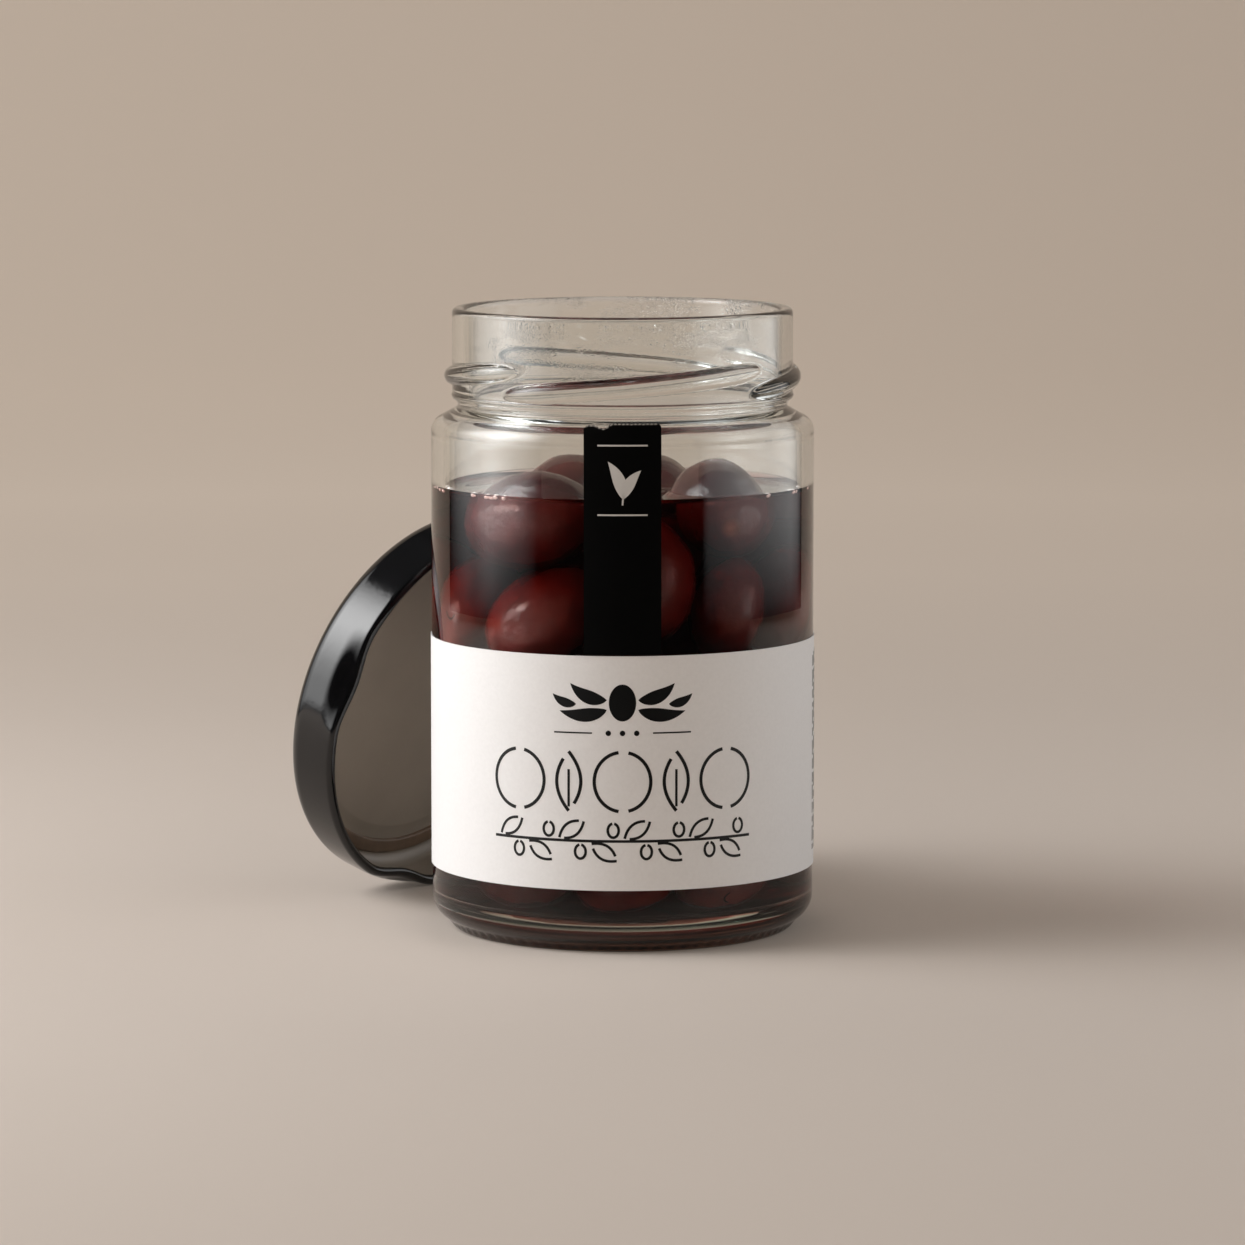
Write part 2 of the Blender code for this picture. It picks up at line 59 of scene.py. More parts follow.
# The jar's axis, outer radius and height come from the frame
JAR_LOW, JAR_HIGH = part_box("glass_jar")
JAR_X = (JAR_LOW.x + JAR_HIGH.x) / 2
JAR_Y = (JAR_LOW.y + JAR_HIGH.y) / 2
JAR_RADIUS = (JAR_HIGH.x - JAR_LOW.x) / 2
JAR_HEIGHT = JAR_HIGH.z
LABEL_LOW_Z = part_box("label")[0].z
LABEL_HIGH_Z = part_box("label")[1].z
STRIP_LOW_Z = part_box("seal_strip")[0].z
STRIP_HIGH_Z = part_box("seal_strip")[1].z

# Glass
TURN_STEPS = 320
WALL = 2.5 * MM
INNER_RADIUS = JAR_RADIUS - WALL
FLOOR_Z = 5.6 * MM
FLOOR_CROWN = 0.4 * MM
PUSH_UP = 3.0 * MM
HEEL_RADIUS = 6.0 * MM
BEARING_RADIUS = 31.0 * MM
BEARING_WIDTH = 1.6 * MM
SHOULDER_Z = 93.0 * MM
RECESS_RADIUS = 30.95 * MM
RECESS_Z = 98.8 * MM
FINISH_RADIUS = 32.0 * MM
FINISH_FOOT_Z = 100.3 * MM
MOUTH_RADIUS = 29.6 * MM
NECK_INNER_RADIUS = 28.7 * MM
LIP_RADIUS = 1.0 * MM

# Clear glass and brine
GLASS_IOR = 1.5
BRINE_IOR = 1.35
GRAIN_LOW_Z = 94.0 * MM
# Painted shadow and shade at the foot: lamp light through the glass is cut between the first heights, and
# the glass's colour is darkened between the second, for the dark under the jar
FOOT_SHADE = (1.0 * MM, 4.0 * MM)
FOOT_PAINTED_SHADE = (3.0 * MM, 7.5 * MM)
FOOT_DOTS = 80
FOOT_DOT_DEPTH = 0.3 * MM
FOOT_DOT_BAND = (0.7 * MM, 1.6 * MM)
GRAIN_BACK = (12.0 * MM, 20.0 * MM)
GRAIN_FADE = 3.0 * MM
GLASS_COLOUR = (0.985, 0.995, 0.99)
GLASS_TINT = (0.94, 0.95, 0.945)

# Thread lugs
LUG_COUNT = 4
LUG_CREST_RADIUS = 33.5 * MM
LUG_HALF_HEIGHT = 1.8 * MM
LUG_START_ANGLE = -42.5
LUG_SPAN_ANGLE = 95.0
LUG_START_Z = 102.2 * MM
LUG_RISE = 4.4 * MM
LUG_TAPER = 0.16
LUG_SINK = 0.25 * MM
LUG_FILLET = 0.25 * MM
LUG_BAND = (100.9 * MM, 109.5 * MM)
LUG_ROW = 0.2 * MM

# Olives: their settled layout is the one that the heap's solid was made from
OLIVE_SEED = 3
OLIVE_COUNT = 45
OLIVE_WIDTH = 17.0 * MM
OLIVE_SLENDERNESS = 1.42
SETTLE_ROUNDS = 500
SINK_STEP = 0.1 * MM
HOMING = 0.1
TOUCH_GAP = 0.3 * MM
WALL_FACETS = 60
SHOWN_OLIVES = {
    "front_left_floating": (-42.0, 24.2 * MM, 78.8 * MM, 18.4 * MM, (-42.0, 8.0)),
    "back_left_floating": (-75.0, 10.9 * MM, 79.7 * MM, 17.4 * MM, (60.0, 10.0)),
    "right_floating": (48.5, 24.0 * MM, 79.8 * MM, 17.8 * MM, (105.0, 10.0)),
    "middle_floating": (148.0, 11.0 * MM, 78.4 * MM, 17.4 * MM, (100.0, 5.0)),
    "left_below_brine": (-36.3, 24.4 * MM, 61.5 * MM, 17.4 * MM, (-20.0, 35.0)),
    "behind_strip": (7.0, 24.8 * MM, 67.6 * MM, 16.4 * MM, (0.0, 85.0)),
    "right_below_brine": (43.0, 26.0 * MM, 62.3 * MM, 14.2 * MM, (0.0, 80.0)),
    "far_left": (-100.0, 24.6 * MM, 63.0 * MM, 16.6 * MM, (80.0, 40.0)),
    "far_right": (78.0, 24.6 * MM, 62.0 * MM, 16.6 * MM, (90.0, 50.0)),
    "above_label_left": (-70.0, 24.8 * MM, 60.0 * MM, 16.4 * MM, (20.0, 60.0)),
    "bottom_left": (-36.0, 25.6 * MM, 13.4 * MM, 14.8 * MM, (-36.0, 4.0)),
    "bottom_middle": (3.0, 25.8 * MM, 13.8 * MM, 14.4 * MM, (0.0, 20.0)),
    "bottom_right": (37.0, 26.0 * MM, 13.4 * MM, 14.2 * MM, (37.0, 12.0)),
}

# Cap, with the pose in which it leans on the glass
CAP_STEPS = 240
CAP_RADIUS = 37.56 * MM
CAP_HEIGHT = 12.3 * MM
CAP_CORNER_RADIUS = 3.5 * MM
CURL_RADIUS = 1.0 * MM
PANEL_RADIUS = 28.5 * MM
PANEL_DROP = 0.35 * MM
CAP_LUG_COUNT = 4
CAP_LUG_DEPTH = 1.9 * MM
CAP_LUG_HEIGHT = 4.5 * MM
CAP_LUG_HALF_ANGLE = 17.0
CAP_LUG_PHASE = 166.0
CAP_X = -30.07 * MM
CAP_Y = 35.71 * MM
CAP_AZIMUTH = -41.47
CAP_TILT = 15.3
SEAL_INNER_RADIUS = 31.6 * MM
SEAL_OUTER_RADIUS = 34.9 * MM


class OliveJarSizes(bpy.types.PropertyGroup):
    brine_z: FloatProperty(
        name="Brine Level", description="Height of the brine above the table",
        default=82.8 * MM, unit="LENGTH",
    )
    meniscus: FloatProperty(
        name="Meniscus", description="How far the brine climbs the glass",
        default=1.2 * MM, unit="LENGTH",
    )
    into_wall: FloatProperty(
        name="Brine in Wall", description="How far the brine reaches into the glass, so that no air shows",
        default=0.25 * MM, unit="LENGTH",
    )
    core_radius: FloatProperty(
        name="Core Radius", description="Radius of the plain core inside the heap of olives",
        default=15.0 * MM, unit="LENGTH",
    )
    label_gap: FloatProperty(
        name="Label Gap", description="Angle at the back that the label leaves open",
        default=math.radians(12.0), unit="ROTATION",
    )
    paper: FloatProperty(
        name="Paper", description="Thickness of the label's and the strip's paper",
        default=0.14 * MM, unit="LENGTH",
    )
    strip_width: FloatProperty(
        name="Strip Width", description="Width of the torn seal strip",
        default=14.1 * MM, unit="LENGTH",
    )
    tear_depth: FloatProperty(
        name="Tear Depth", description="How deep the strip's torn edge is notched",
        default=0.9 * MM, unit="LENGTH",
    )
    sheet: FloatProperty(
        name="Cap Sheet", description="Thickness of the cap's tinplate with its lacquer",
        default=0.5 * MM, unit="LENGTH",
    )
    olive_rings: IntProperty(
        name="Olive Rings", description="Rings of faces on each olive before it is smoothed",
        default=14, min=8, max=24,
    )


class OliveJarColours(bpy.types.PropertyGroup):
    skin: FloatVectorProperty(
        name="Olive Skin", description="Main colour of the olives' skin",
        subtype="COLOR", size=3, min=0.0, max=1.0, default=(0.13, 0.037, 0.035),
    )
    skin_dark: FloatVectorProperty(
        name="Dark Skin", description="Colour of the darker patches on the skin",
        subtype="COLOR", size=3, min=0.0, max=1.0, default=(0.055, 0.014, 0.015),
    )
    brine: FloatVectorProperty(
        name="Brine", description="What the brine lets through, by colour",
        subtype="COLOR", size=3, min=0.0, max=1.0, default=(0.76, 0.11, 0.0),
    )
    paper: FloatVectorProperty(
        name="Label Paper", description="Colour of the label's paper",
        subtype="COLOR", size=3, min=0.0, max=1.0, default=(0.86, 0.86, 0.865),
    )
    ink: FloatVectorProperty(
        name="Black Ink", description="Colour of the black print and of the seal strip",
        subtype="COLOR", size=3, min=0.0, max=1.0, default=(0.0025, 0.0025, 0.0025),
    )
    lacquer: FloatVectorProperty(
        name="Cap Lacquer", description="Colour of the cap's outside",
        subtype="COLOR", size=3, min=0.0, max=1.0, default=(0.004, 0.004, 0.0045),
    )
    lining: FloatVectorProperty(
        name="Cap Lining", description="Colour of the lacquer inside the cap",
        subtype="COLOR", size=3, min=0.0, max=1.0, default=(0.33, 0.285, 0.235),
    )
    compound: FloatVectorProperty(
        name="Sealing Compound", description="Colour of the ring that seals the cap",
        subtype="COLOR", size=3, min=0.0, max=1.0, default=(0.22, 0.15, 0.10),
    )
    floor: FloatVectorProperty(
        name="Floor", description="Colour of the table and the backdrop",
        subtype="COLOR", size=3, min=0.0, max=1.0, default=(0.60, 0.53, 0.475),
    )


def fresh_start():
    if bpy.context.object is not None and bpy.context.object.mode != "OBJECT":
        bpy.ops.object.mode_set(mode="OBJECT")
    bpy.ops.object.select_all(action="DESELECT")


def make_active(piece):
    fresh_start()
    piece.select_set(True)
    bpy.context.view_layer.objects.active = piece


def settle_in_place(piece, name, material, smooth_angle=40.0):
    """Bring the piece's own place into its mesh, name and shade it."""
    make_active(piece)
    bpy.ops.object.transform_apply(location=True, rotation=True, scale=True)
    piece.name = name
    piece.data.name = name
    piece.data.materials.clear()
    piece.data.materials.append(material)
    bpy.ops.object.shade_smooth_by_angle(angle=math.radians(smooth_angle))
    return piece


def to_jar(piece):
    """Move a piece that was made round the world's Z axis to the jar's axis."""
    piece.location = (piece.location.x + JAR_X, piece.location.y + JAR_Y, piece.location.z)


def join(pieces, name):
    fresh_start()
    for piece in pieces:
        piece.select_set(True)
    bpy.context.view_layer.objects.active = pieces[0]
    if len(pieces) > 1:
        bpy.ops.object.join()
    bpy.context.object.name = name
    return bpy.context.object


def apply_all(piece):
    make_active(piece)
    for modifier in list(piece.modifiers):
        bpy.ops.object.modifier_apply(modifier=modifier.name)


def arc(center_r, center_z, radius, start, end, steps):
    """Points (r, z) round a circle in the outline's plane, from start to end degrees."""
    angles = [math.radians(start + (end - start) * i / steps) for i in range(steps + 1)]
    return [(center_r + radius * math.cos(a), center_z + radius * math.sin(a)) for a in angles]


def line(start, end, steps):
    """Points (r, z) after the start, up to the end."""
    (r0, z0), (r1, z1) = start, end
    return [(r0 + (r1 - r0) * i / steps, z0 + (z1 - z0) * i / steps) for i in range(1, steps + 1)]


def around(angle, radius, z):
    """Point at an angle in degrees from the jar's front, + towards its right, about the origin."""
    a = math.radians(angle)
    return Vector((radius * math.sin(a), -radius * math.cos(a), z))


def lathe(outline, steps, angle=2 * math.pi, closed=False):
    """Spin an outline of (radius, height) points round the Z axis, as on a lathe."""
    fresh_start()
    first_r, first_z = outline[0]
    bpy.ops.mesh.primitive_plane_add(size=MM, location=(first_r, 0.0, first_z))
    piece = bpy.context.object
    bpy.ops.object.mode_set(mode="EDIT")
    bpy.ops.mesh.merge(type="CENTER")
    for (r0, z0), (r1, z1) in zip(outline, outline[1:]):
        step = (r1 - r0, 0.0, z1 - z0)
        bpy.ops.mesh.extrude_vertices_move(TRANSFORM_OT_translate={"value": step})
    bpy.ops.mesh.select_all(action="SELECT")
    if closed:
        bpy.ops.mesh.remove_doubles(threshold=0.002 * MM)
    bpy.ops.mesh.spin(steps=steps, angle=angle, center=(0.0, 0.0, 0.0), axis=(0.0, 0.0, 1.0))
    bpy.ops.mesh.select_all(action="SELECT")
    bpy.ops.mesh.remove_doubles(threshold=0.002 * MM)
    bpy.ops.mesh.normals_make_consistent(inside=False)
    bpy.ops.object.mode_set(mode="OBJECT")
    bpy.ops.object.transform_apply(location=True, rotation=True, scale=True)
    return piece


def face_outwards(piece, inside=False):
    make_active(piece)
    bpy.ops.object.mode_set(mode="EDIT")
    bpy.ops.mesh.select_all(action="SELECT")
    bpy.ops.mesh.normals_make_consistent(inside=inside)
    bpy.ops.object.mode_set(mode="OBJECT")


def points_of(piece):
    co = np.empty(len(piece.data.vertices) * 3)
    piece.data.vertices.foreach_get("co", co)
    return co.reshape(-1, 3)


def set_points(piece, co):
    piece.data.vertices.foreach_set("co", co.ravel())
    piece.data.update()


def new_material(name):
    material = bpy.data.materials.new(name)
    material.use_nodes = True
    shader = material.node_tree.nodes["Principled BSDF"]
    return material, shader


def add_node(material, kind, inputs=None, **values):
    """New node with its properties set, and its inputs linked to sockets or set to values."""
    node = material.node_tree.nodes.new(kind)
    for key, value in values.items():
        setattr(node, key, value)
    for key, value in (inputs or {}).items():
        if isinstance(value, bpy.types.NodeSocket):
            link(material, value, node.inputs[key])
        else:
            node.inputs[key].default_value = value
    return node


def link(material, source, target):
    material.node_tree.links.new(source, target)


def uneven_group():
    """Shader nodes: slow and fine unevenness of a surface, as a 0 to 1 value and a normal."""
    name = "Uneven Surface"
    if name in bpy.data.node_groups:
        return bpy.data.node_groups[name]
    group = bpy.data.node_groups.new(name, "ShaderNodeTree")
    face = group.interface
    face.new_socket("Vector", in_out="INPUT", socket_type="NodeSocketVector")
    for label, usual in (("Scale", 100.0), ("Detail", 3.0), ("Strength", 0.1), ("Distance", 0.0005)):
        socket = face.new_socket(label, in_out="INPUT", socket_type="NodeSocketFloat")
        socket.default_value = usual
    face.new_socket("Value", in_out="OUTPUT", socket_type="NodeSocketFloat")
    face.new_socket("Normal", in_out="OUTPUT", socket_type="NodeSocketVector")
    nodes = group.nodes
    inside = nodes.new("NodeGroupInput")
    outside = nodes.new("NodeGroupOutput")
    noise = nodes.new("ShaderNodeTexNoise")
    bump = nodes.new("ShaderNodeBump")
    for label in ("Vector", "Scale", "Detail"):
        group.links.new(inside.outputs[label], noise.inputs[label])
    for label in ("Strength", "Distance"):
        group.links.new(inside.outputs[label], bump.inputs[label])
    group.links.new(noise.outputs["Fac"], bump.inputs["Height"])
    group.links.new(noise.outputs["Fac"], outside.inputs["Value"])
    group.links.new(bump.outputs["Normal"], outside.inputs["Normal"])
    return group


def add_uneven(material, scale, detail, strength, distance, stretch=(1.0, 1.0, 1.0)):
    """Place the unevenness group in a material, on stretched Object coordinates."""
    place = add_node(material, "ShaderNodeTexCoord")
    mapping = add_node(material, "ShaderNodeMapping", {
        "Scale": stretch, "Location": (-JAR_X * stretch[0], -JAR_Y * stretch[1], 0.0),
        "Vector": place.outputs["Object"],
    })
    node = add_node(material, "ShaderNodeGroup", {
        "Scale": scale, "Detail": detail, "Strength": strength, "Distance": distance,
        "Vector": mapping.outputs["Vector"],
    }, node_tree=uneven_group())
    return node


def add_ramp(material, source, stops):
    """Colour ramp of (position, colour) stops, read at a value."""
    ramp = add_node(material, "ShaderNodeValToRGB")
    ramp.color_ramp.elements[0].position = stops[0][0]
    ramp.color_ramp.elements[0].color = (*stops[0][1], 1.0)
    ramp.color_ramp.elements[1].position = stops[-1][0]
    ramp.color_ramp.elements[1].color = (*stops[-1][1], 1.0)
    for position, colour in stops[1:-1]:
        element = ramp.color_ramp.elements.new(position)
        element.color = (*colour, 1.0)
    link(material, source, ramp.inputs["Fac"])
    return ramp


def let_lamps_through(material, shader, tint):
    """Rays from lamps pass the clear surface straight on, so that what is inside is lit."""
    output = material.node_tree.nodes["Material Output"]
    path = add_node(material, "ShaderNodeLightPath")
    clear = add_node(material, "ShaderNodeBsdfTransparent", {"Color": (*tint, 1.0)})
    mix = add_node(material, "ShaderNodeMixShader", {
        "Fac": path.outputs["Is Shadow Ray"], 1: shader.outputs["BSDF"], 2: clear.outputs["BSDF"],
    })
    link(material, mix.outputs["Shader"], output.inputs["Surface"])
    return clear


def absorb(material, colour, density):
    volume = add_node(material, "ShaderNodeVolumeAbsorption", {"Color": (*colour, 1.0), "Density": density})
    link(material, volume.outputs["Volume"], material.node_tree.nodes["Material Output"].inputs["Volume"])


def set_contact_ior(material, shader, ior, contact_ior):
    """Refraction against air, and against the neighbour on the faces marked as touching it."""
    shader.inputs["IOR"].default_value = ior
    touch = add_node(material, "ShaderNodeAttribute", attribute_name="contact")
    choice = add_node(material, "ShaderNodeMapRange", {
        "To Min": ior, "To Max": contact_ior, "Value": touch.outputs["Fac"],
    })
    link(material, choice.outputs["Result"], shader.inputs["IOR"])


def mark_contact(piece, faces):
    values = np.zeros(len(piece.data.polygons))
    values[faces] = 1.0
    piece.data.attributes.new("contact", "FLOAT", "FACE").data.foreach_set("value", values)


def glass_material():
    """Clear glass with slow waves, a fine mould grain in patches at the back of the neck, and painted shade
    at the foot.
    """
    material, shader = new_material("flint_glass")
    shader.inputs["Base Color"].default_value = (*GLASS_COLOUR, 1.0)
    shader.inputs["Roughness"].default_value = 0.0
    shader.inputs["Transmission Weight"].default_value = 1.0
    set_contact_ior(material, shader, GLASS_IOR, GLASS_IOR / BRINE_IOR)
    waves = add_uneven(material, 70.0, 3.0, 0.05, 0.0006, stretch=(1.0, 1.0, 0.2))
    patches = add_uneven(material, 75.0, 2.0, 0.0, 0.0005, stretch=(1.0, 1.0, 3.0))
    patchy = add_node(material, "ShaderNodeMapRange", {
        "From Min": 0.47, "From Max": 0.57, "Value": patches.outputs["Value"],
    }, interpolation_type="SMOOTHSTEP")
    place = add_node(material, "ShaderNodeTexCoord")
    height = add_node(material, "ShaderNodeSeparateXYZ", {"Vector": place.outputs["Object"]})
    neck = add_node(material, "ShaderNodeMapRange", {
        "From Min": GRAIN_LOW_Z, "From Max": GRAIN_LOW_Z + GRAIN_FADE, "Value": height.outputs["Z"],
    }, interpolation_type="SMOOTHSTEP")
    back = add_node(material, "ShaderNodeMapRange", {
        "From Min": JAR_Y + GRAIN_BACK[0], "From Max": JAR_Y + GRAIN_BACK[1], "Value": height.outputs["Y"],
    }, interpolation_type="SMOOTHSTEP")
    there = add_node(material, "ShaderNodeMath", {
        0: back.outputs["Result"], 1: neck.outputs["Result"],
    }, operation="MULTIPLY")
    where = add_node(material, "ShaderNodeMath", {
        0: patchy.outputs["Result"], 1: there.outputs["Value"],
    }, operation="MULTIPLY")
    grain = add_uneven(material, 2200.0, 1.0, 0.0, 0.0005, stretch=(1.0, 1.0, 1.6))
    speckle = add_node(material, "ShaderNodeBump", {
        "Distance": 0.0003, "Strength": where.outputs["Value"], "Height": grain.outputs["Value"],
        "Normal": waves.outputs["Normal"],
    })
    link(material, speckle.outputs["Normal"], shader.inputs["Normal"])
    absorb(material, (0.80, 0.90, 0.84), 22.0)
    clear = let_lamps_through(material, shader, GLASS_TINT)
    # Painted shade at the foot: darker lamp light through it and a darker colour, towards the table
    for (low, high), dark, light, target in (
        (FOOT_SHADE, (0.05, 0.045, 0.04), GLASS_TINT, clear.inputs["Color"]),
        (FOOT_PAINTED_SHADE, (0.07, 0.06, 0.055), GLASS_COLOUR, shader.inputs["Base Color"]),
    ):
        foot = add_node(material, "ShaderNodeMapRange", {
            "From Min": low, "From Max": high, "Value": height.outputs["Z"],
        }, interpolation_type="SMOOTHSTEP")
        shade = add_ramp(material, foot.outputs["Result"], [(0.0, dark), (1.0, light)])
        link(material, shade.outputs["Color"], target)
    return material


def brine_material(colours):
    material, shader = new_material("dark_brine")
    shader.inputs["Base Color"].default_value = (1.0, 0.99, 0.985, 1.0)
    shader.inputs["Roughness"].default_value = 0.0
    shader.inputs["Transmission Weight"].default_value = 1.0
    set_contact_ior(material, shader, BRINE_IOR, 1.0)
    absorb(material, tuple(colours.brine), 330.0)
    let_lamps_through(material, shader, (1.0, 1.0, 1.0))
    return material


def add_slit(material, tone):
    """Mask of a thin crescent on the skin, by the olive's own UV map, on some olives only."""
    uv = add_node(material, "ShaderNodeUVMap")
    shift = add_node(material, "ShaderNodeVectorMath", {
        1: (0.5, 0.42, 0.0), 0: uv.outputs["UV"],
    }, operation="SUBTRACT")
    widen = add_node(material, "ShaderNodeVectorMath", {
        1: (1.6, 1.0, 0.0), 0: shift.outputs["Vector"],
    }, operation="MULTIPLY")
    reach = add_node(material, "ShaderNodeVectorMath", {0: widen.outputs["Vector"]}, operation="LENGTH")
    off = add_node(material, "ShaderNodeMath", {1: 0.055, 0: reach.outputs["Value"]}, operation="SUBTRACT")
    size = add_node(material, "ShaderNodeMath", {0: off.outputs["Value"]}, operation="ABSOLUTE")
    thin = add_node(material, "ShaderNodeMapRange", {
        "From Min": 0.009, "From Max": 0.004, "Value": size.outputs["Value"],
    })
    axes = add_node(material, "ShaderNodeSeparateXYZ", {"Vector": widen.outputs["Vector"]})
    lower = add_node(material, "ShaderNodeMath", {1: -0.02, 0: axes.outputs["Y"]}, operation="LESS_THAN")
    some = add_node(material, "ShaderNodeMath", {1: 0.55, 0: tone}, operation="GREATER_THAN")
    here = add_node(material, "ShaderNodeMath", {
        0: lower.outputs["Value"], 1: some.outputs["Value"],
    }, operation="MULTIPLY")
    mask = add_node(material, "ShaderNodeMath", {
        0: thin.outputs["Result"], 1: here.outputs["Value"],
    }, operation="MULTIPLY")
    return mask


def paint_shade_above(material, colour, level):
    """The colour with painted shade: darker on what stands out of the brine."""
    place = add_node(material, "ShaderNodeTexCoord")
    axes = add_node(material, "ShaderNodeSeparateXYZ", {"Vector": place.outputs["Object"]})
    above = add_node(material, "ShaderNodeMapRange", {
        "From Min": level - 0.3 * MM, "From Max": level + 1.5 * MM, "To Min": 1.0, "To Max": 0.55,
        "Value": axes.outputs["Z"],
    })
    darker = add_node(material, "ShaderNodeMix", {
        "Factor": 1.0, "A": colour, "B": above.outputs["Result"],
    }, data_type="RGBA", blend_type="MULTIPLY")
    return darker.outputs["Result"]


def olive_material(colours, brine_z):
    """Smooth dark skin with slow tone changes, pale specks and a tan stem scar."""
    material, shader = new_material("olive_skin")
    skin = tuple(colours.skin)
    dark = tuple(colours.skin_dark)
    tones = add_uneven(material, 90.0, 3.0, 0.0, 0.0005)
    stops = [(0.32, dark), (0.62, skin), (0.8, (0.22, 0.07, 0.045))]
    ramp = add_ramp(material, tones.outputs["Value"], stops)
    tone = add_node(material, "ShaderNodeAttribute", attribute_name="olive_tone")
    shift = add_node(material, "ShaderNodeMix", {"Factor": 1.0}, data_type="RGBA", blend_type="MULTIPLY")
    each = add_ramp(material, tone.outputs["Fac"], [(0.0, (0.72, 0.62, 0.68)), (1.0, (1.25, 1.15, 1.05))])
    link(material, ramp.outputs["Color"], shift.inputs["A"])
    link(material, each.outputs["Color"], shift.inputs["B"])
    scar = add_node(material, "ShaderNodeAttribute", attribute_name="stem_scar")
    scarred = add_node(material, "ShaderNodeMix", {
        "B": (0.28, 0.16, 0.09, 1.0), "Factor": scar.outputs["Fac"], "A": shift.outputs["Result"],
    }, data_type="RGBA")
    slit = add_slit(material, tone.outputs["Fac"])
    cut = add_node(material, "ShaderNodeMix", {
        "B": (0.02, 0.006, 0.006, 1.0), "Factor": slit.outputs["Value"], "A": scarred.outputs["Result"],
    }, data_type="RGBA")
    # Painted shade: the skin is darker where it stands out of the brine
    link(material, paint_shade_above(material, cut.outputs["Result"], brine_z), shader.inputs["Base Color"])
    wrinkles = add_uneven(material, 480.0, 4.0, 0.5, 0.0004)
    link(material, wrinkles.outputs["Normal"], shader.inputs["Normal"])
    shader.inputs["Roughness"].default_value = 0.2
    shader.inputs["Specular IOR Level"].default_value = 0.5
    return material


def core_material():
    material, shader = new_material("heap_core")
    tones = add_uneven(material, 120.0, 2.0, 0.3, 0.001)
    # Painted shade: the core is darker than the olives it stands in for
    stops = [(0.3, (0.02, 0.005, 0.004)), (0.7, (0.05, 0.014, 0.01))]
    ramp = add_ramp(material, tones.outputs["Value"], stops)
    link(material, ramp.outputs["Color"], shader.inputs["Base Color"])
    link(material, tones.outputs["Normal"], shader.inputs["Normal"])
    shader.inputs["Roughness"].default_value = 0.6
    return material


def paper_material(name, colour, roughness, fibre):
    """Coated paper: a little uneven in tone and gloss, with fine fibre relief."""
    material, shader = new_material(name)
    fine = add_uneven(material, 1500.0, 4.0, fibre, 0.00008)
    darker = tuple(0.965 * c for c in colour)
    ramp = add_ramp(material, fine.outputs["Value"], [(0.3, darker), (0.7, tuple(colour))])
    link(material, ramp.outputs["Color"], shader.inputs["Base Color"])
    link(material, fine.outputs["Normal"], shader.inputs["Normal"])
    slow = add_uneven(material, 120.0, 2.0, 0.0, 0.0001)
    gloss = add_node(material, "ShaderNodeMapRange", {
        "To Min": roughness - 0.04, "To Max": roughness + 0.06, "Value": slow.outputs["Value"],
    })
    link(material, gloss.outputs["Result"], shader.inputs["Roughness"])
    return material


def lacquer_material(name, colour, roughness, coat):
    """Enamel on tinplate, with faint orange peel and slightly uneven gloss."""
    material, shader = new_material(name)
    peel = add_uneven(material, 900.0, 2.0, 0.06, 0.0002)
    slow = add_uneven(material, 60.0, 3.0, 0.0, 0.0002)
    lighter = tuple(1.15 * c for c in colour)
    ramp = add_ramp(material, slow.outputs["Value"], [(0.3, tuple(colour)), (0.75, lighter)])
    link(material, ramp.outputs["Color"], shader.inputs["Base Color"])
    link(material, peel.outputs["Normal"], shader.inputs["Normal"])
    gloss = add_node(material, "ShaderNodeMapRange", {
        "To Min": roughness - 0.03, "To Max": roughness + 0.05, "Value": slow.outputs["Value"],
    })
    link(material, gloss.outputs["Result"], shader.inputs["Roughness"])
    shader.inputs["Coat Weight"].default_value = coat
    shader.inputs["Coat Roughness"].default_value = 0.15
    return material


def compound_material(colours):
    material, shader = new_material("sealing_compound")
    grain = add_uneven(material, 300.0, 3.0, 0.2, 0.0003)
    colour = tuple(colours.compound)
    darker = tuple(0.75 * c for c in colour)
    ramp = add_ramp(material, grain.outputs["Value"], [(0.3, darker), (0.7, colour)])
    link(material, ramp.outputs["Color"], shader.inputs["Base Color"])
    link(material, grain.outputs["Normal"], shader.inputs["Normal"])
    shader.inputs["Roughness"].default_value = 0.45
    return material


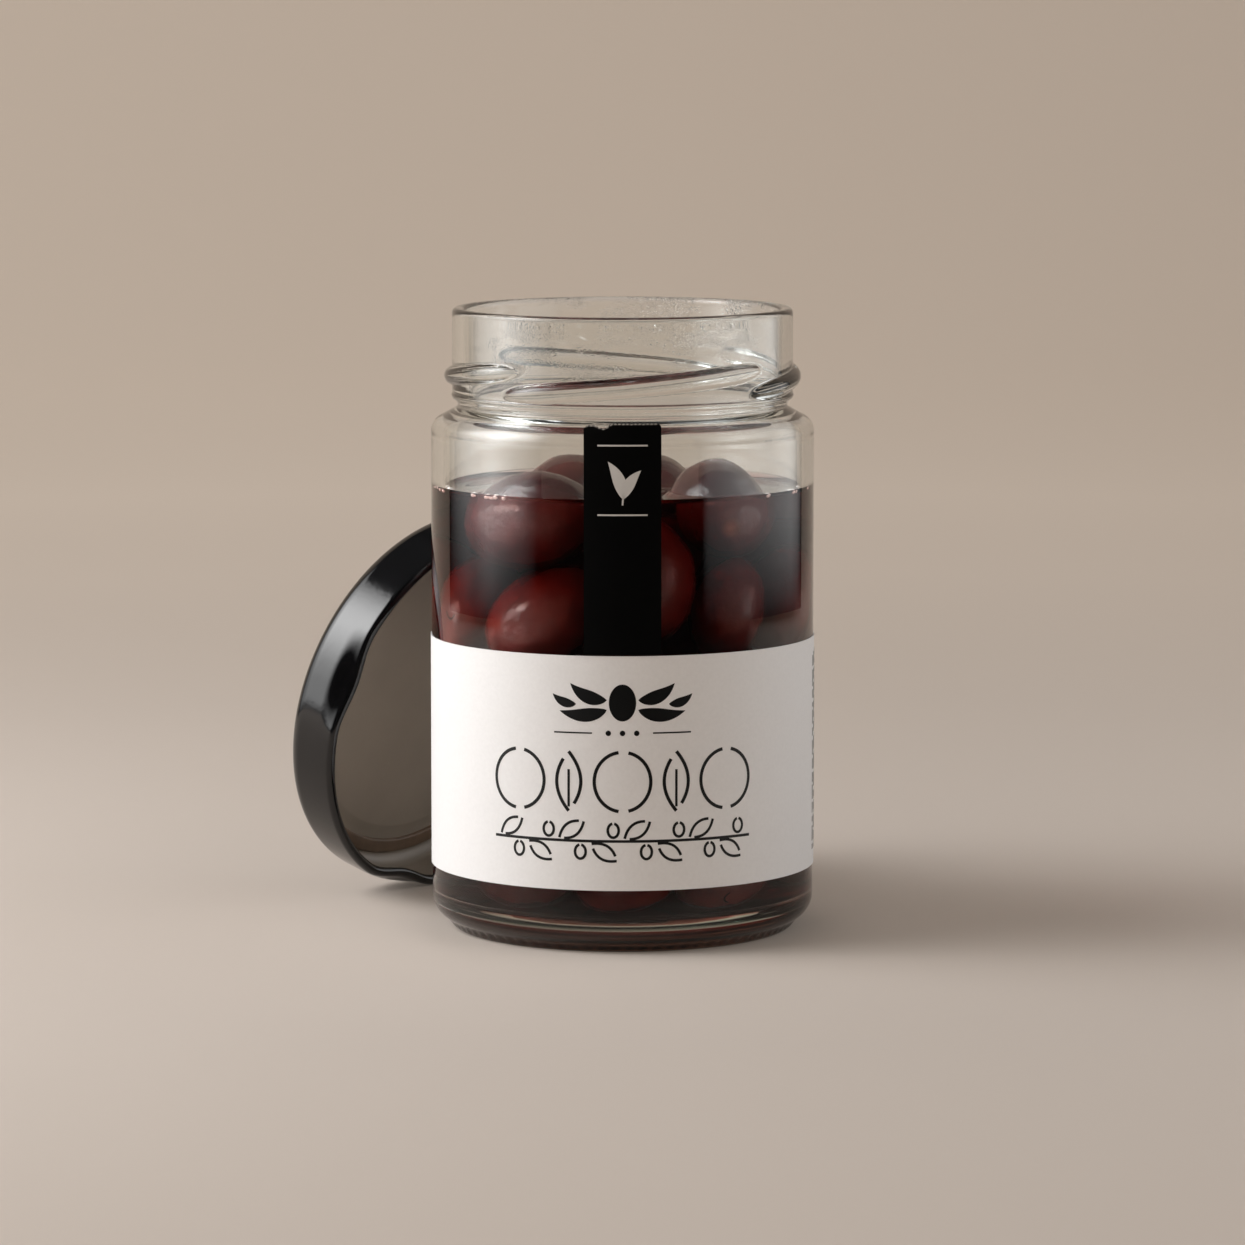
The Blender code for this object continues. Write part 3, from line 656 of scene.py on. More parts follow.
def jar_outline(wet_z):
    """From the inside of the floor up to the lip and down the outside to the push-up."""
    inner_heel = HEEL_RADIUS - 1.5 * MM
    outline = [(0.0, FLOOR_Z + FLOOR_CROWN), (0.55 * INNER_RADIUS, FLOOR_Z + FLOOR_CROWN / 2)]
    outline += arc(INNER_RADIUS - inner_heel, FLOOR_Z + inner_heel, inner_heel, -90, 0, 12)
    outline += line(outline[-1], (INNER_RADIUS, wet_z), 20)
    outline += line(outline[-1], (INNER_RADIUS, SHOULDER_Z - 1.0 * MM), 5)
    inner_shoulder = 4.3 * MM
    outline += arc(INNER_RADIUS - inner_shoulder, SHOULDER_Z - 0.3 * MM, inner_shoulder, 0, 62, 10)
    outline += line(outline[-1], (NECK_INNER_RADIUS + 0.3 * MM, RECESS_Z - 1.3 * MM), 3)
    outline += line(outline[-1], (NECK_INNER_RADIUS, RECESS_Z), 3)
    outline += line(outline[-1], (MOUTH_RADIUS - 0.3 * MM, FINISH_FOOT_Z + 2.2 * MM), 4)
    outline += line(outline[-1], (MOUTH_RADIUS, FINISH_FOOT_Z + 4.5 * MM), 3)
    outline += line(outline[-1], (MOUTH_RADIUS, JAR_HEIGHT - LIP_RADIUS - 0.4 * MM), 4)
    outline += arc(MOUTH_RADIUS + LIP_RADIUS, JAR_HEIGHT - LIP_RADIUS, LIP_RADIUS, 180, 90, 7)
    outline += arc(FINISH_RADIUS - LIP_RADIUS, JAR_HEIGHT - LIP_RADIUS, LIP_RADIUS, 90, 0, 7)
    outline += line(outline[-1], (FINISH_RADIUS, LUG_BAND[1]), 5)
    rows = round((LUG_BAND[1] - LUG_BAND[0]) / LUG_ROW)
    outline += line(outline[-1], (FINISH_RADIUS, LUG_BAND[0]), rows)
    outline += arc(FINISH_RADIUS - 0.6 * MM, FINISH_FOOT_Z + 0.3 * MM, 0.75 * MM, 40, -80, 8)
    outline += arc(RECESS_RADIUS + 0.7 * MM, RECESS_Z, 0.65 * MM, 140, 215, 5)
    shoulder_radius = 3.2 * MM
    shoulder_center = JAR_RADIUS - shoulder_radius
    outline += arc(shoulder_center, SHOULDER_Z + 0.8 * MM, shoulder_radius, 72, 0, 14)
    outer_heel = HEEL_RADIUS - 1.2 * MM
    heel_z = HEEL_RADIUS + 0.1 * MM
    outline += line(outline[-1], (JAR_RADIUS, heel_z + 0.3 * MM), 24)
    outline += arc(JAR_RADIUS - outer_heel, heel_z, outer_heel, 0, -62, 12)
    bearing_out = BEARING_RADIUS + BEARING_WIDTH / 2
    bearing_in = BEARING_RADIUS - BEARING_WIDTH / 2
    outline += line(outline[-1], (bearing_out + 0.35 * MM, 0.25 * MM), 5)
    outline += [(bearing_out, 0.0), (bearing_in, 0.0)]
    outline += [(bearing_in - 0.5 * MM, 0.1 * MM), (BEARING_RADIUS - 2.2 * MM, 0.5 * MM)]
    outline += line(outline[-1], (0.65 * BEARING_RADIUS, 0.75 * PUSH_UP), 4)
    outline += line(outline[-1], (0.3 * BEARING_RADIUS, 0.95 * PUSH_UP), 3)
    outline.append((0.0, PUSH_UP))
    return outline


def lug_reach(angle, z):
    """Radius of the thread lugs' surface at an angle in degrees and a height, 0 away from them."""
    spacing = 360.0 / LUG_COUNT
    reach = np.zeros_like(angle)
    for index in range(LUG_COUNT):
        along = ((angle - index * spacing - LUG_START_ANGLE) % 360.0) / LUG_SPAN_ANGLE
        on_lug = along <= 1.0
        fade = np.clip(np.minimum(along, 1.0 - along) / LUG_TAPER, 0.0, 1.0)
        size = np.sin(0.5 * np.pi * fade) ** 0.5
        section = LUG_HALF_HEIGHT * (0.3 + 0.7 * size)
        foot = FINISH_RADIUS - LUG_SINK
        crest = foot + (LUG_CREST_RADIUS - foot) * size
        off = z - LUG_START_Z - LUG_RISE * along
        bulge = np.sqrt(np.clip(section ** 2 - off ** 2, 0.0, None))
        surface = np.where(bulge > 0.0, crest - section + bulge, 0.0)
        reach = np.where(on_lug, np.maximum(reach, surface), reach)
    return reach


def raise_lugs(piece):
    """Push the neck's outer surface out to the lugs, with a small fillet at their feet."""
    co = points_of(piece)
    radius = np.hypot(co[:, 0], co[:, 1])
    band = (co[:, 2] > LUG_BAND[0] - LUG_ROW) & (co[:, 2] < LUG_BAND[1] + LUG_ROW)
    band &= radius > FINISH_RADIUS - 0.02 * MM
    angle = np.degrees(np.arctan2(co[:, 0], -co[:, 1]))
    lug = lug_reach(angle, co[:, 2])
    blend = np.clip(0.5 + 0.5 * (lug - radius) / LUG_FILLET, 0.0, 1.0)
    pushed = radius + (lug - radius) * blend + LUG_FILLET * blend * (1.0 - blend)
    share = np.where(band, pushed / np.maximum(radius, 1e-9), 1.0)
    co[:, :2] *= share[:, None]
    set_points(piece, co)


def dot_foot(piece):
    """Press a ring of small dots into the foot, just above where the jar stands."""
    co = points_of(piece)
    radius = np.hypot(co[:, 0], co[:, 1])
    angle = np.arctan2(co[:, 1], co[:, 0])
    ring = (co[:, 2] > FOOT_DOT_BAND[0]) & (co[:, 2] < FOOT_DOT_BAND[1]) & (radius > BEARING_RADIUS)
    dots = 0.5 - 0.5 * np.cos(FOOT_DOTS * angle)
    share = np.where(ring, 1.0 - FOOT_DOT_DEPTH * dots / np.maximum(radius, 1e-9), 1.0)
    co[:, :2] *= share[:, None]
    set_points(piece, co)


def wetted_faces(glass, wet_z):
    """Faces of the glass's inside that the brine touches."""
    faces = []
    for face in glass.data.polygons:
        r = math.hypot(face.center.x, face.center.y)
        if r < INNER_RADIUS + 0.05 * MM and FLOOR_Z - 0.1 * MM < face.center.z < wet_z:
            faces.append(face.index)
    return faces


def make_glass(sizes):
    wet_z = sizes.brine_z + sizes.meniscus
    glass = lathe(jar_outline(wet_z), TURN_STEPS)
    raise_lugs(glass)
    dot_foot(glass)
    mark_contact(glass, wetted_faces(glass, wet_z))
    to_jar(glass)
    settle_in_place(glass, "jar_glass", glass_material(), 60.0)
    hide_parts("glass_jar")
    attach(glass, "root")
    return glass


def direction(azimuth, elevation):
    a = math.radians(azimuth)
    e = math.radians(elevation)
    return np.array([math.cos(a) * math.cos(e), math.sin(a) * math.cos(e), math.sin(e)])


def inscribed_spheres(widths, lengths):
    """Five balls on each olive's long axis: their offsets and radii."""
    half_width = widths / 2
    half_length = lengths / 2
    spread = half_length ** 2 - half_width ** 2
    offsets = np.outer(spread / half_length, (-1.0, -0.5, 0.0, 0.5, 1.0))
    radii = half_width[:, None] * np.sqrt(1.0 - offsets ** 2 / spread[:, None])
    return offsets, radii


def settle_olives(brine_z):
    """Places, long directions, widths and lengths of the olives, about the jar's axis.

    Balls on the olives' long axes push each other apart, the glass pushes them in, and gravity
    packs them, while the olives that show are drawn back to their own places.
    """
    rng = np.random.default_rng(OLIVE_SEED)
    shown = list(SHOWN_OLIVES.values())
    loose = OLIVE_COUNT - len(shown)
    home = np.array([tuple(around(a, r, z)) for a, r, z, _, _ in shown])
    angle = rng.uniform(0.0, 2 * math.pi, loose)
    reach = 23.0 * MM * np.sqrt(rng.uniform(0.0, 1.0, loose))
    height = np.linspace(FLOOR_Z + 9.0 * MM, brine_z - 9.0 * MM, loose)
    scattered = np.stack([reach * np.cos(angle), reach * np.sin(angle), height], axis=1)
    places = np.concatenate([home, scattered])
    turns = rng.normal(size=(loose, 3)) * (1.0, 1.0, 0.7)
    axes = np.concatenate([np.array([direction(*turn) for *_, turn in shown]), turns])
    axes /= np.linalg.norm(axes, axis=1)[:, None]
    home_axes = axes[:len(shown)].copy()
    shown_widths = np.array([width for _, _, _, width, _ in shown])
    widths = np.concatenate([shown_widths, OLIVE_WIDTH * rng.uniform(0.9, 1.05, loose)])
    stretch = np.concatenate([np.ones(len(shown)), rng.uniform(0.94, 1.06, loose)])
    lengths = widths * OLIVE_SLENDERNESS * stretch
    offsets, radii = inscribed_spheres(widths, lengths)
    balls = offsets.shape[1]
    owner = np.repeat(np.arange(OLIVE_COUNT), balls)
    ball_radii = radii.ravel()
    under_brine = owner >= len(shown)
    touch = ball_radii[:, None] + ball_radii[None, :]
    others = owner[:, None] != owner[None, :]
    wall = INNER_RADIUS * math.cos(math.pi / WALL_FACETS) - TOUCH_GAP
    low = FLOOR_Z + FLOOR_CROWN + TOUCH_GAP
    high = brine_z - 1.0 * MM
    for step in range(SETTLE_ROUNDS):
        places[len(shown):, 2] -= SINK_STEP * max(0.0, 0.7 - step / SETTLE_ROUNDS)
        arms = offsets.ravel()[:, None] * axes[owner]
        centers = places[owner] + arms
        apart = centers[:, None, :] - centers[None, :, :]
        distance = np.linalg.norm(apart, axis=2) + 1e-9
        overlap = np.where(others, np.maximum(touch - distance, 0.0), 0.0)
        push = (apart / distance[:, :, None] * overlap[:, :, None]).sum(axis=1) * 0.5
        contacts = (overlap > 0.0).sum(axis=1)
        radial = np.hypot(centers[:, 0], centers[:, 1]) + 1e-9
        outside = np.maximum(radial + ball_radii - wall, 0.0)
        push[:, :2] -= centers[:, :2] * (outside / radial)[:, None]
        below = np.maximum(low + ball_radii - centers[:, 2], 0.0)
        above = np.maximum(centers[:, 2] + ball_radii - high, 0.0) * under_brine
        push[:, 2] += below - above
        contacts = contacts + (outside > 0.0) + (below > 0.0) + (above > 0.0)
        moves = np.zeros_like(places)
        torques = np.zeros_like(places)
        shares = np.zeros(OLIVE_COUNT)
        np.add.at(moves, owner, push)
        np.add.at(torques, owner, np.cross(arms, push))
        np.add.at(shares, owner, contacts)
        ease = 1.4 / np.maximum(shares, 1.0)[:, None]
        places += moves * ease
        axes += np.cross(torques, axes) / (0.15 * lengths[:, None] ** 2) * ease
        places[:len(shown)] += (home - places[:len(shown)]) * HOMING
        axes[:len(shown)] += (home_axes - axes[:len(shown)]) * HOMING
        axes /= np.linalg.norm(axes, axis=1)[:, None]
    return places, axes, widths, lengths


def olive_frames(brine_z):
    """Matrix of each settled olive, which takes a ball of diameter 1 to its place and size."""
    places, axes, widths, lengths = settle_olives(brine_z)
    frames = []
    for place, axis, width, length in zip(places, axes, widths, lengths):
        turn = Vector(axis).to_track_quat("Z", "Y").to_matrix().to_4x4()
        size = Matrix.Diagonal((width, width, length, 1.0))
        frames.append(Matrix.Translation(place) @ turn @ size)
    return frames


def select_near_pole(piece, top, share):
    """Select, in edit mode, the vertices nearest one end of a ball of diameter 1."""
    bpy.ops.mesh.select_all(action="DESELECT")
    bpy.ops.object.mode_set(mode="OBJECT")
    for vertex in piece.data.vertices:
        height = vertex.co.z if top else -vertex.co.z
        vertex.select = height > 0.5 * share
    bpy.ops.object.mode_set(mode="EDIT")


def master_olive(rings):
    """One olive of diameter 1 along X and Y and length 1 along Z: stem end below, tip above."""
    fresh_start()
    bpy.ops.mesh.primitive_uv_sphere_add(
        segments=2 * rings - 4, ring_count=rings, radius=0.5, location=(0.0, 0.0, 0.0),
    )
    olive = bpy.context.object
    bpy.ops.object.mode_set(mode="EDIT")
    bpy.ops.mesh.select_mode(type="VERT")
    select_near_pole(olive, True, 0.99)
    bpy.ops.transform.translate(
        value=(0.02, 0.0, 0.035), use_proportional_edit=True,
        proportional_edit_falloff="SHARP", proportional_size=0.42,
    )
    select_near_pole(olive, False, 0.99)
    bpy.ops.transform.translate(
        value=(0.0, 0.0, 0.045), use_proportional_edit=True,
        proportional_edit_falloff="SMOOTH", proportional_size=0.17,
    )
    bpy.ops.object.mode_set(mode="OBJECT")
    scar = olive.data.attributes.new("stem_scar", "FLOAT", "POINT")
    co = points_of(olive)
    out = np.hypot(co[:, 0], co[:, 1])
    on_scar = np.clip(1.4 - out / 0.08, 0.0, 1.0) * (co[:, 2] < 0.0)
    scar.data.foreach_set("value", on_scar)
    olive.data.attributes.new("olive_tone", "FLOAT", "POINT")
    return olive


def make_olives(sizes, colours):
    rng = np.random.default_rng(OLIVE_SEED)
    master = master_olive(sizes.olive_rings)
    material = olive_material(colours, sizes.brine_z)
    lumps = bpy.data.textures.new("olive_lumps", "CLOUDS")
    lumps.noise_scale = 8.0 * MM
    wall = INNER_RADIUS - 0.12 * MM
    olives = []
    for index, place in enumerate(olive_frames(sizes.brine_z)):
        make_active(master)
        bpy.ops.object.duplicate(linked=False)
        olive = bpy.context.object
        tone = np.full(len(olive.data.vertices), rng.uniform(0.0, 1.0))
        olive.data.attributes["olive_tone"].data.foreach_set("value", tone)
        if index >= len(SHOWN_OLIVES) and rng.uniform() < 0.5:
            place = place @ Matrix.Rotation(math.pi, 4, "X")
        roll = Matrix.Rotation(rng.uniform(0.0, 2 * math.pi), 4, "Z")
        olive.matrix_world = place @ roll
        bpy.ops.object.transform_apply(location=True, rotation=True, scale=True)
        smooth = olive.modifiers.new("Smooth", "SUBSURF")
        smooth.levels = 1
        smooth.render_levels = 1
        uneven = olive.modifiers.new("Uneven", "DISPLACE")
        uneven.texture = lumps
        uneven.texture_coords = "GLOBAL"
        uneven.strength = 1.1 * MM
        uneven.mid_level = 0.5
        apply_all(olive)
        co = points_of(olive)
        reach = np.hypot(co[:, 0], co[:, 1])
        co[:, :2] *= np.minimum(1.0, wall / reach)[:, None]
        co[:, 2] = np.maximum(co[:, 2], FLOOR_Z + FLOOR_CROWN)
        set_points(olive, co)
        olives.append(olive)
    bpy.data.objects.remove(master, do_unlink=True)
    heap = join(olives, "olives_in_brine")
    to_jar(heap)
    settle_in_place(heap, "olives_in_brine", material, 180.0)
    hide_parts("olives")
    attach(heap, "root")
    return heap


def make_core(sizes):
    """Plain dark core that closes the middle of the heap, darker than the olives' skin as painted shade for
    the heap's deep middle.
    """
    low = FLOOR_Z + 8.0 * MM
    high = sizes.brine_z - 20.0 * MM
    radius = sizes.core_radius
    outline = [(0.0, low)] + arc(radius - 4 * MM, low + 4 * MM, 4 * MM, -90, 0, 5)
    outline += arc(radius - 4 * MM, high - 4 * MM, 4 * MM, 0, 90, 5) + [(0.0, high)]
    core = lathe(outline, 64)
    to_jar(core)
    settle_in_place(core, "heap_core", core_material())
    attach(core, "root")
    return core


def brine_outline(sizes):
    """Up the wetted glass from the floor, over the meniscus and in to the middle."""
    into = sizes.into_wall
    inner_heel = HEEL_RADIUS - 1.5 * MM
    wall = INNER_RADIUS + into
    outline = [(0.0, FLOOR_Z + FLOOR_CROWN - into), (0.55 * INNER_RADIUS, FLOOR_Z + FLOOR_CROWN / 2 - into)]
    outline += arc(INNER_RADIUS - inner_heel, FLOOR_Z + inner_heel, inner_heel + into, -90, 0, 12)
    outline += line(outline[-1], (wall, sizes.brine_z + sizes.meniscus - 0.3 * MM), 16)
    steps = 30
    for i in range(steps + 1):
        inward = 9.0 * MM * (i / steps) ** 2
        climb = sizes.meniscus * math.exp(-max(inward - into, 0.0) / (1.1 * MM))
        outline.append((wall - inward, sizes.brine_z + climb))
    outline += line(outline[-1], (0.4 * MM, sizes.brine_z), 48)
    outline.append((0.0, sizes.brine_z))
    return outline


def climb_olives(brine, sizes):
    """Raise the brine's surface a little where floating olives break it."""
    co = points_of(brine)
    top = np.nonzero(co[:, 2] > sizes.brine_z - 0.05 * MM)[0]
    radius = np.hypot(co[top, 0], co[top, 1])
    inside = radius < INNER_RADIUS - 2.0 * MM
    climb = np.zeros(len(top))
    for frame_matrix in olive_frames(sizes.brine_z)[:len(SHOWN_OLIVES)]:
        crest = (frame_matrix @ Vector((0.0, 0.0, 0.0))).z + 0.5 * OLIVE_WIDTH
        if crest < sizes.brine_z:
            continue
        back = np.array(frame_matrix.inverted())
        local = co[top] @ back[:3, :3].T + back[:3, 3]
        reach = np.linalg.norm(local, axis=1) * 2.0
        slope = np.linalg.norm(local @ back[:3, :3], axis=1) * 2.0 / np.maximum(reach / 2.0, 1e-9)
        away = np.maximum(reach - 1.0, 0.0) / slope
        climb = np.maximum(climb, 0.9 * MM * np.exp(-away / (1.0 * MM)))
    co[top, 2] += climb * inside
    set_points(brine, co)


def make_brine(sizes, colours):
    brine = lathe(brine_outline(sizes), 240)
    climb_olives(brine, sizes)
    to_jar(brine)
    low = sizes.brine_z - 0.2 * MM
    mark_contact(brine, [f.index for f in brine.data.polygons if f.normal.z < 0.1 or f.center.z < low])
    settle_in_place(brine, "brine", brine_material(colours), 60.0)
    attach(brine, "root")
    return brine


def make_bubbles(sizes):
    """Small bubbles that cling to the glass where the brine ends."""
    rng = np.random.default_rng(OLIVE_SEED)
    groups = ((-84.0, -70.0, 6), (-56.0, -34.0, 9), (40.0, 80.0, 5))
    angles = np.concatenate([rng.uniform(first, last, count) for first, last, count in groups])
    bubbles = []
    for angle in angles:
        size = rng.uniform(0.22, 0.55) * MM
        inward = size + rng.uniform(0.05, 0.5) * MM
        climb = sizes.meniscus * math.exp(-inward / (1.1 * MM))
        place = around(angle, INNER_RADIUS - inward, sizes.brine_z + climb + 0.3 * size)
        fresh_start()
        bpy.ops.mesh.primitive_uv_sphere_add(segments=16, ring_count=10, radius=size, location=place)
        bubbles.append(bpy.context.object)
    foam = join(bubbles, "bubbles")
    to_jar(foam)
    material, shader = new_material("bubble_painted_glint")
    # Painted glint: the bubbles are mostly a pale diffuse film, so that they show as bright specks
    shader.inputs["Base Color"].default_value = (0.95, 0.9, 0.88, 1.0)
    shader.inputs["Roughness"].default_value = 0.02
    shader.inputs["IOR"].default_value = 1.4
    shader.inputs["Transmission Weight"].default_value = 0.2
    film = add_uneven(material, 800.0, 1.0, 0.1, 0.0001)
    link(material, film.outputs["Normal"], shader.inputs["Normal"])
    let_lamps_through(material, shader, (1.0, 1.0, 1.0))
    settle_in_place(foam, "bubbles", material, 180.0)
    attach(foam, "root")


def turn_gap_to_back(label):
    """Turn the label round the jar until the middle of its gap is at the back."""
    co = points_of(label)
    angle = np.sort(np.arctan2(co[:, 1], co[:, 0]))
    after = np.append(angle[1:], angle[0] + 2 * math.pi)
    widest = np.argmax(after - angle)
    turn = math.pi / 2 - (angle[widest] + after[widest]) / 2
    label.rotation_euler = (0.0, 0.0, turn)
    make_active(label)
    bpy.ops.object.transform_apply(location=False, rotation=True, scale=False)


def make_label(sizes, colours):
    """Paper band round the jar, open at the back."""
    inner = JAR_RADIUS + 0.04 * MM
    outer = inner + sizes.paper
    outline = [(inner, LABEL_LOW_Z), (outer, LABEL_LOW_Z)]
    outline += line(outline[-1], (outer, LABEL_HIGH_Z), 24)
    outline += [(inner, LABEL_HIGH_Z)] + line((inner, LABEL_HIGH_Z), (inner, LABEL_LOW_Z), 2)
    label = lathe(outline, 232, 2 * math.pi - sizes.label_gap, closed=True)
    make_active(label)
    bpy.ops.object.mode_set(mode="EDIT")
    bpy.ops.mesh.select_all(action="DESELECT")
    bpy.ops.mesh.select_non_manifold()
    bpy.ops.mesh.edge_face_add()
    bpy.ops.mesh.select_all(action="SELECT")
    bpy.ops.mesh.normals_make_consistent(inside=False)
    bpy.ops.object.mode_set(mode="OBJECT")
    turn_gap_to_back(label)
    to_jar(label)
    settle_in_place(label, "paper_label", paper_material("label_paper", colours.paper, 0.52, 0.25), 30.0)
    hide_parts("label")
    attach(label, "root")
    return label


def torn_top(across):
    """Height lost at the torn edge, in shares of the tear's depth, for a place from -1 to 1."""
    left_corner = max(0.0, -across - 0.88) / 0.12
    left_step = 0.3 if across < -0.35 else 0.0
    dip = math.exp(-((across + 0.5) / 0.16) ** 2)
    right_corner = max(0.0, across - 0.9) / 0.1
    fray = 0.05 * math.sin(37.0 * across) + 0.04 * math.sin(83.0 * across + 1.0)
    return 0.7 * left_corner + left_step + 0.7 * dip + 0.8 * right_corner ** 2 + fray


def make_strip(sizes, colours):
    """Seal strip: a sheet wrapped to the jar's curve, torn at the top."""
    fresh_start()
    bpy.ops.mesh.primitive_grid_add(x_subdivisions=60, y_subdivisions=48, size=2.0, location=(0.0, 0.0, 0.0))
    strip = bpy.context.object
    co = points_of(strip)
    half_angle = math.degrees(sizes.strip_width / 2 / JAR_RADIUS)
    torn = np.zeros(len(co))
    for index, (across, up, _) in enumerate(co):
        high = STRIP_HIGH_Z - sizes.tear_depth * max(torn_top(across), 0.0)
        share = 1.0 - ((1.0 - up) / 2) ** 2
        z = STRIP_LOW_Z + (high - STRIP_LOW_Z) * share
        if share > 0.996:
            torn[index] = 0.5 + 0.5 * math.sin(61.0 * across) if abs(across) < 0.9 else 0.0
        co[index] = around(half_angle * across, JAR_RADIUS + 0.32 * MM, z)
    set_points(strip, co)
    strip.data.attributes.new("torn_edge", "FLOAT", "POINT").data.foreach_set("value", torn)
    sheet = strip.modifiers.new("Sheet", "SOLIDIFY")
    sheet.thickness = sizes.paper
    sheet.offset = 0.0
    apply_all(strip)
    face_outwards(strip)
    to_jar(strip)
    material = paper_material("strip_paper", colours.ink, 0.42, 0.2)
    shader = material.node_tree.nodes["Principled BSDF"]
    shader.inputs["Specular IOR Level"].default_value = 0.12
    ink = shader.inputs["Base Color"].links[0].from_socket
    fibres = add_node(material, "ShaderNodeAttribute", attribute_name="torn_edge")
    edge = add_node(material, "ShaderNodeMix", {
        "B": (0.5, 0.48, 0.45, 1.0), "Factor": fibres.outputs["Fac"], "A": ink,
    }, data_type="RGBA")
    link(material, edge.outputs["Result"], shader.inputs["Base Color"])
    settle_in_place(strip, "torn_strip", material, 30.0)
    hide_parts("seal_strip")
    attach(strip, "root")
    return strip


def ribbon(path, widths, radius):
    """Flat stroke on the jar's side. The path holds (arc length, height) pairs in mm from the front."""
    fresh_start()
    steps = len(path) - 1
    rows = 1 + int(max(widths) / 0.6)
    bpy.ops.mesh.primitive_grid_add(
        x_subdivisions=steps, y_subdivisions=rows, size=2.0, location=(0.0, 0.0, 0.0),
    )
    stroke = bpy.context.object
    ends = np.array(path)
    along = np.gradient(ends, axis=0)
    along /= np.maximum(np.linalg.norm(along, axis=1), 1e-9)[:, None]
    co = points_of(stroke)
    for index, (x, y, _) in enumerate(co):
        step = round((x + 1.0) / 2 * steps)
        half = widths[step] / 2 * y
        arc_length = ends[step][0] - along[step][1] * half
        height = ends[step][1] + along[step][0] * half
        co[index] = around(math.degrees(arc_length * MM / radius), radius, height * MM)
    set_points(stroke, co)
    return stroke


def ellipse(center, half_width, half_height, tilt, start, end, steps=36):
    """Part of an ellipse's line, from start to end degrees, tilted."""
    turn = math.radians(tilt)
    path = []
    for i in range(steps + 1):
        a = math.radians(start + (end - start) * i / steps)
        x, y = half_width * math.cos(a), half_height * math.sin(a)
        path.append((center[0] + x * math.cos(turn) - y * math.sin(turn),
                     center[1] + x * math.sin(turn) + y * math.cos(turn)))
    return path


def bent_line(start, end, bow, steps=16):
    """Line that bows to one side by a share of its length."""
    dx, dy = end[0] - start[0], end[1] - start[1]
    path = []
    for i in range(steps + 1):
        t = i / steps
        off = bow * 4.0 * t * (1.0 - t)
        path.append((start[0] + dx * t - dy * off, start[1] + dy * t + dx * off))
    return path


def leaf_outline(base, length, width, tilt, line_width, radius):
    """Two bowed strokes that nearly meet, as in a stencil."""
    turn = math.radians(tilt)
    tip = (base[0] + length * math.cos(turn), base[1] + length * math.sin(turn))
    strokes = []
    for side in (1.0, -1.0):
        whole = bent_line(base, tip, side * width / length / 2, 24)
        part = whole[:-3] if side > 0.0 else whole[3:]
        strokes.append(ribbon(part, [line_width] * len(part), radius))
    return strokes


def full_leaf(base, length, width, tilt, bow, radius):
    """Filled leaf with pointed ends."""
    turn = math.radians(tilt)
    tip = (base[0] + length * math.cos(turn), base[1] + length * math.sin(turn))
    path = bent_line(base, tip, bow, 24)
    widths = [max(0.02, width * math.sin(math.pi * (i / 24) ** 0.8) ** 0.9) for i in range(25)]
    return ribbon(path, widths, radius)


def full_disc(center, half_width, half_height, radius):
    steps = 24
    path = [(center[0], center[1] + half_height * math.cos(math.pi * i / steps)) for i in range(steps + 1)]
    widths = [max(0.02, 2 * half_width * math.sin(math.pi * i / steps)) for i in range(steps + 1)]
    return ribbon(path, widths, radius)


def straight(start, end, width, radius):
    path = bent_line(start, end, 0.0, 12)
    return ribbon(path, [width] * len(path), radius)


def finish_print(strokes, name, colour):
    """Join strokes into one thin print layer."""
    layer = join(strokes, name)
    sheet = layer.modifiers.new("Sheet", "SOLIDIFY")
    sheet.thickness = 0.02 * MM
    sheet.offset = 0.0
    apply_all(layer)
    face_outwards(layer)
    to_jar(layer)
    settle_in_place(layer, name, paper_material(name + "_ink", colour, 0.5, 0.1), 30.0)
    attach(layer, "root")
    return layer


def make_label_print(colours):
    """Plain olive-branch ornament in black line, where a label has its lettering."""
    radius = JAR_RADIUS + 0.2 * MM
    strokes = [full_disc((0.0, 46.9), 2.5, 3.4, radius)]
    for side in (-1.0, 1.0):
        lean = 0.0 if side > 0.0 else 180.0
        strokes.append(full_leaf((side * 2.9, 47.4), 7.4, 2.5, lean + side * 24.0, -side * 0.12, radius))
        strokes.append(full_leaf((side * 2.9, 45.6), 8.8, 2.5, lean - side * 2.0, -side * 0.10, radius))
        strokes.append(full_leaf((side * 8.6, 46.6), 4.8, 1.7, lean + side * 22.0, -side * 0.12, radius))
        strokes.append(straight((side * 5.6, 41.3), (side * 12.8, 41.3), 0.28, radius))
    for x in (-2.6, 0.0, 2.6):
        strokes.append(full_disc((x, 41.3), 0.5, 0.5, radius))
    for x in (-20.0, 0.0, 20.0):
        strokes.append(ribbon(ellipse((x, 32.3), 5.2, 5.5, 0.0, 98.0, 262.0), [0.62] * 37, radius))
        strokes.append(ribbon(ellipse((x, 32.3), 5.2, 5.5, 0.0, -78.0, 78.0), [0.62] * 37, radius))
    for x in (-10.0, 10.0):
        strokes += leaf_outline((x, 26.8), 11.0, 4.6, 90.0, 0.62, radius)
        strokes.append(straight((x, 27.6), (x, 34.5), 0.46, radius))
    strokes.append(ribbon(bent_line((-25.4, 21.3), (25.4, 21.3), 0.0, 60), [0.5] * 61, radius))
    for i in range(8):
        x = -24.0 + 6.1 * i
        side = 1.0 if i % 2 == 0 else -1.0
        strokes += leaf_outline((x, 21.3 + side * 0.5), 5.6, 2.6, side * 34.0, 0.5, radius)
        berry = ellipse((x + 4.0, 21.3 - side * 2.0), 1.0, 1.3, 0.0, 100.0, 440.0)
        strokes.append(ribbon(berry, [0.5] * len(berry), radius))
    return finish_print(strokes, "label_print", colours.ink)


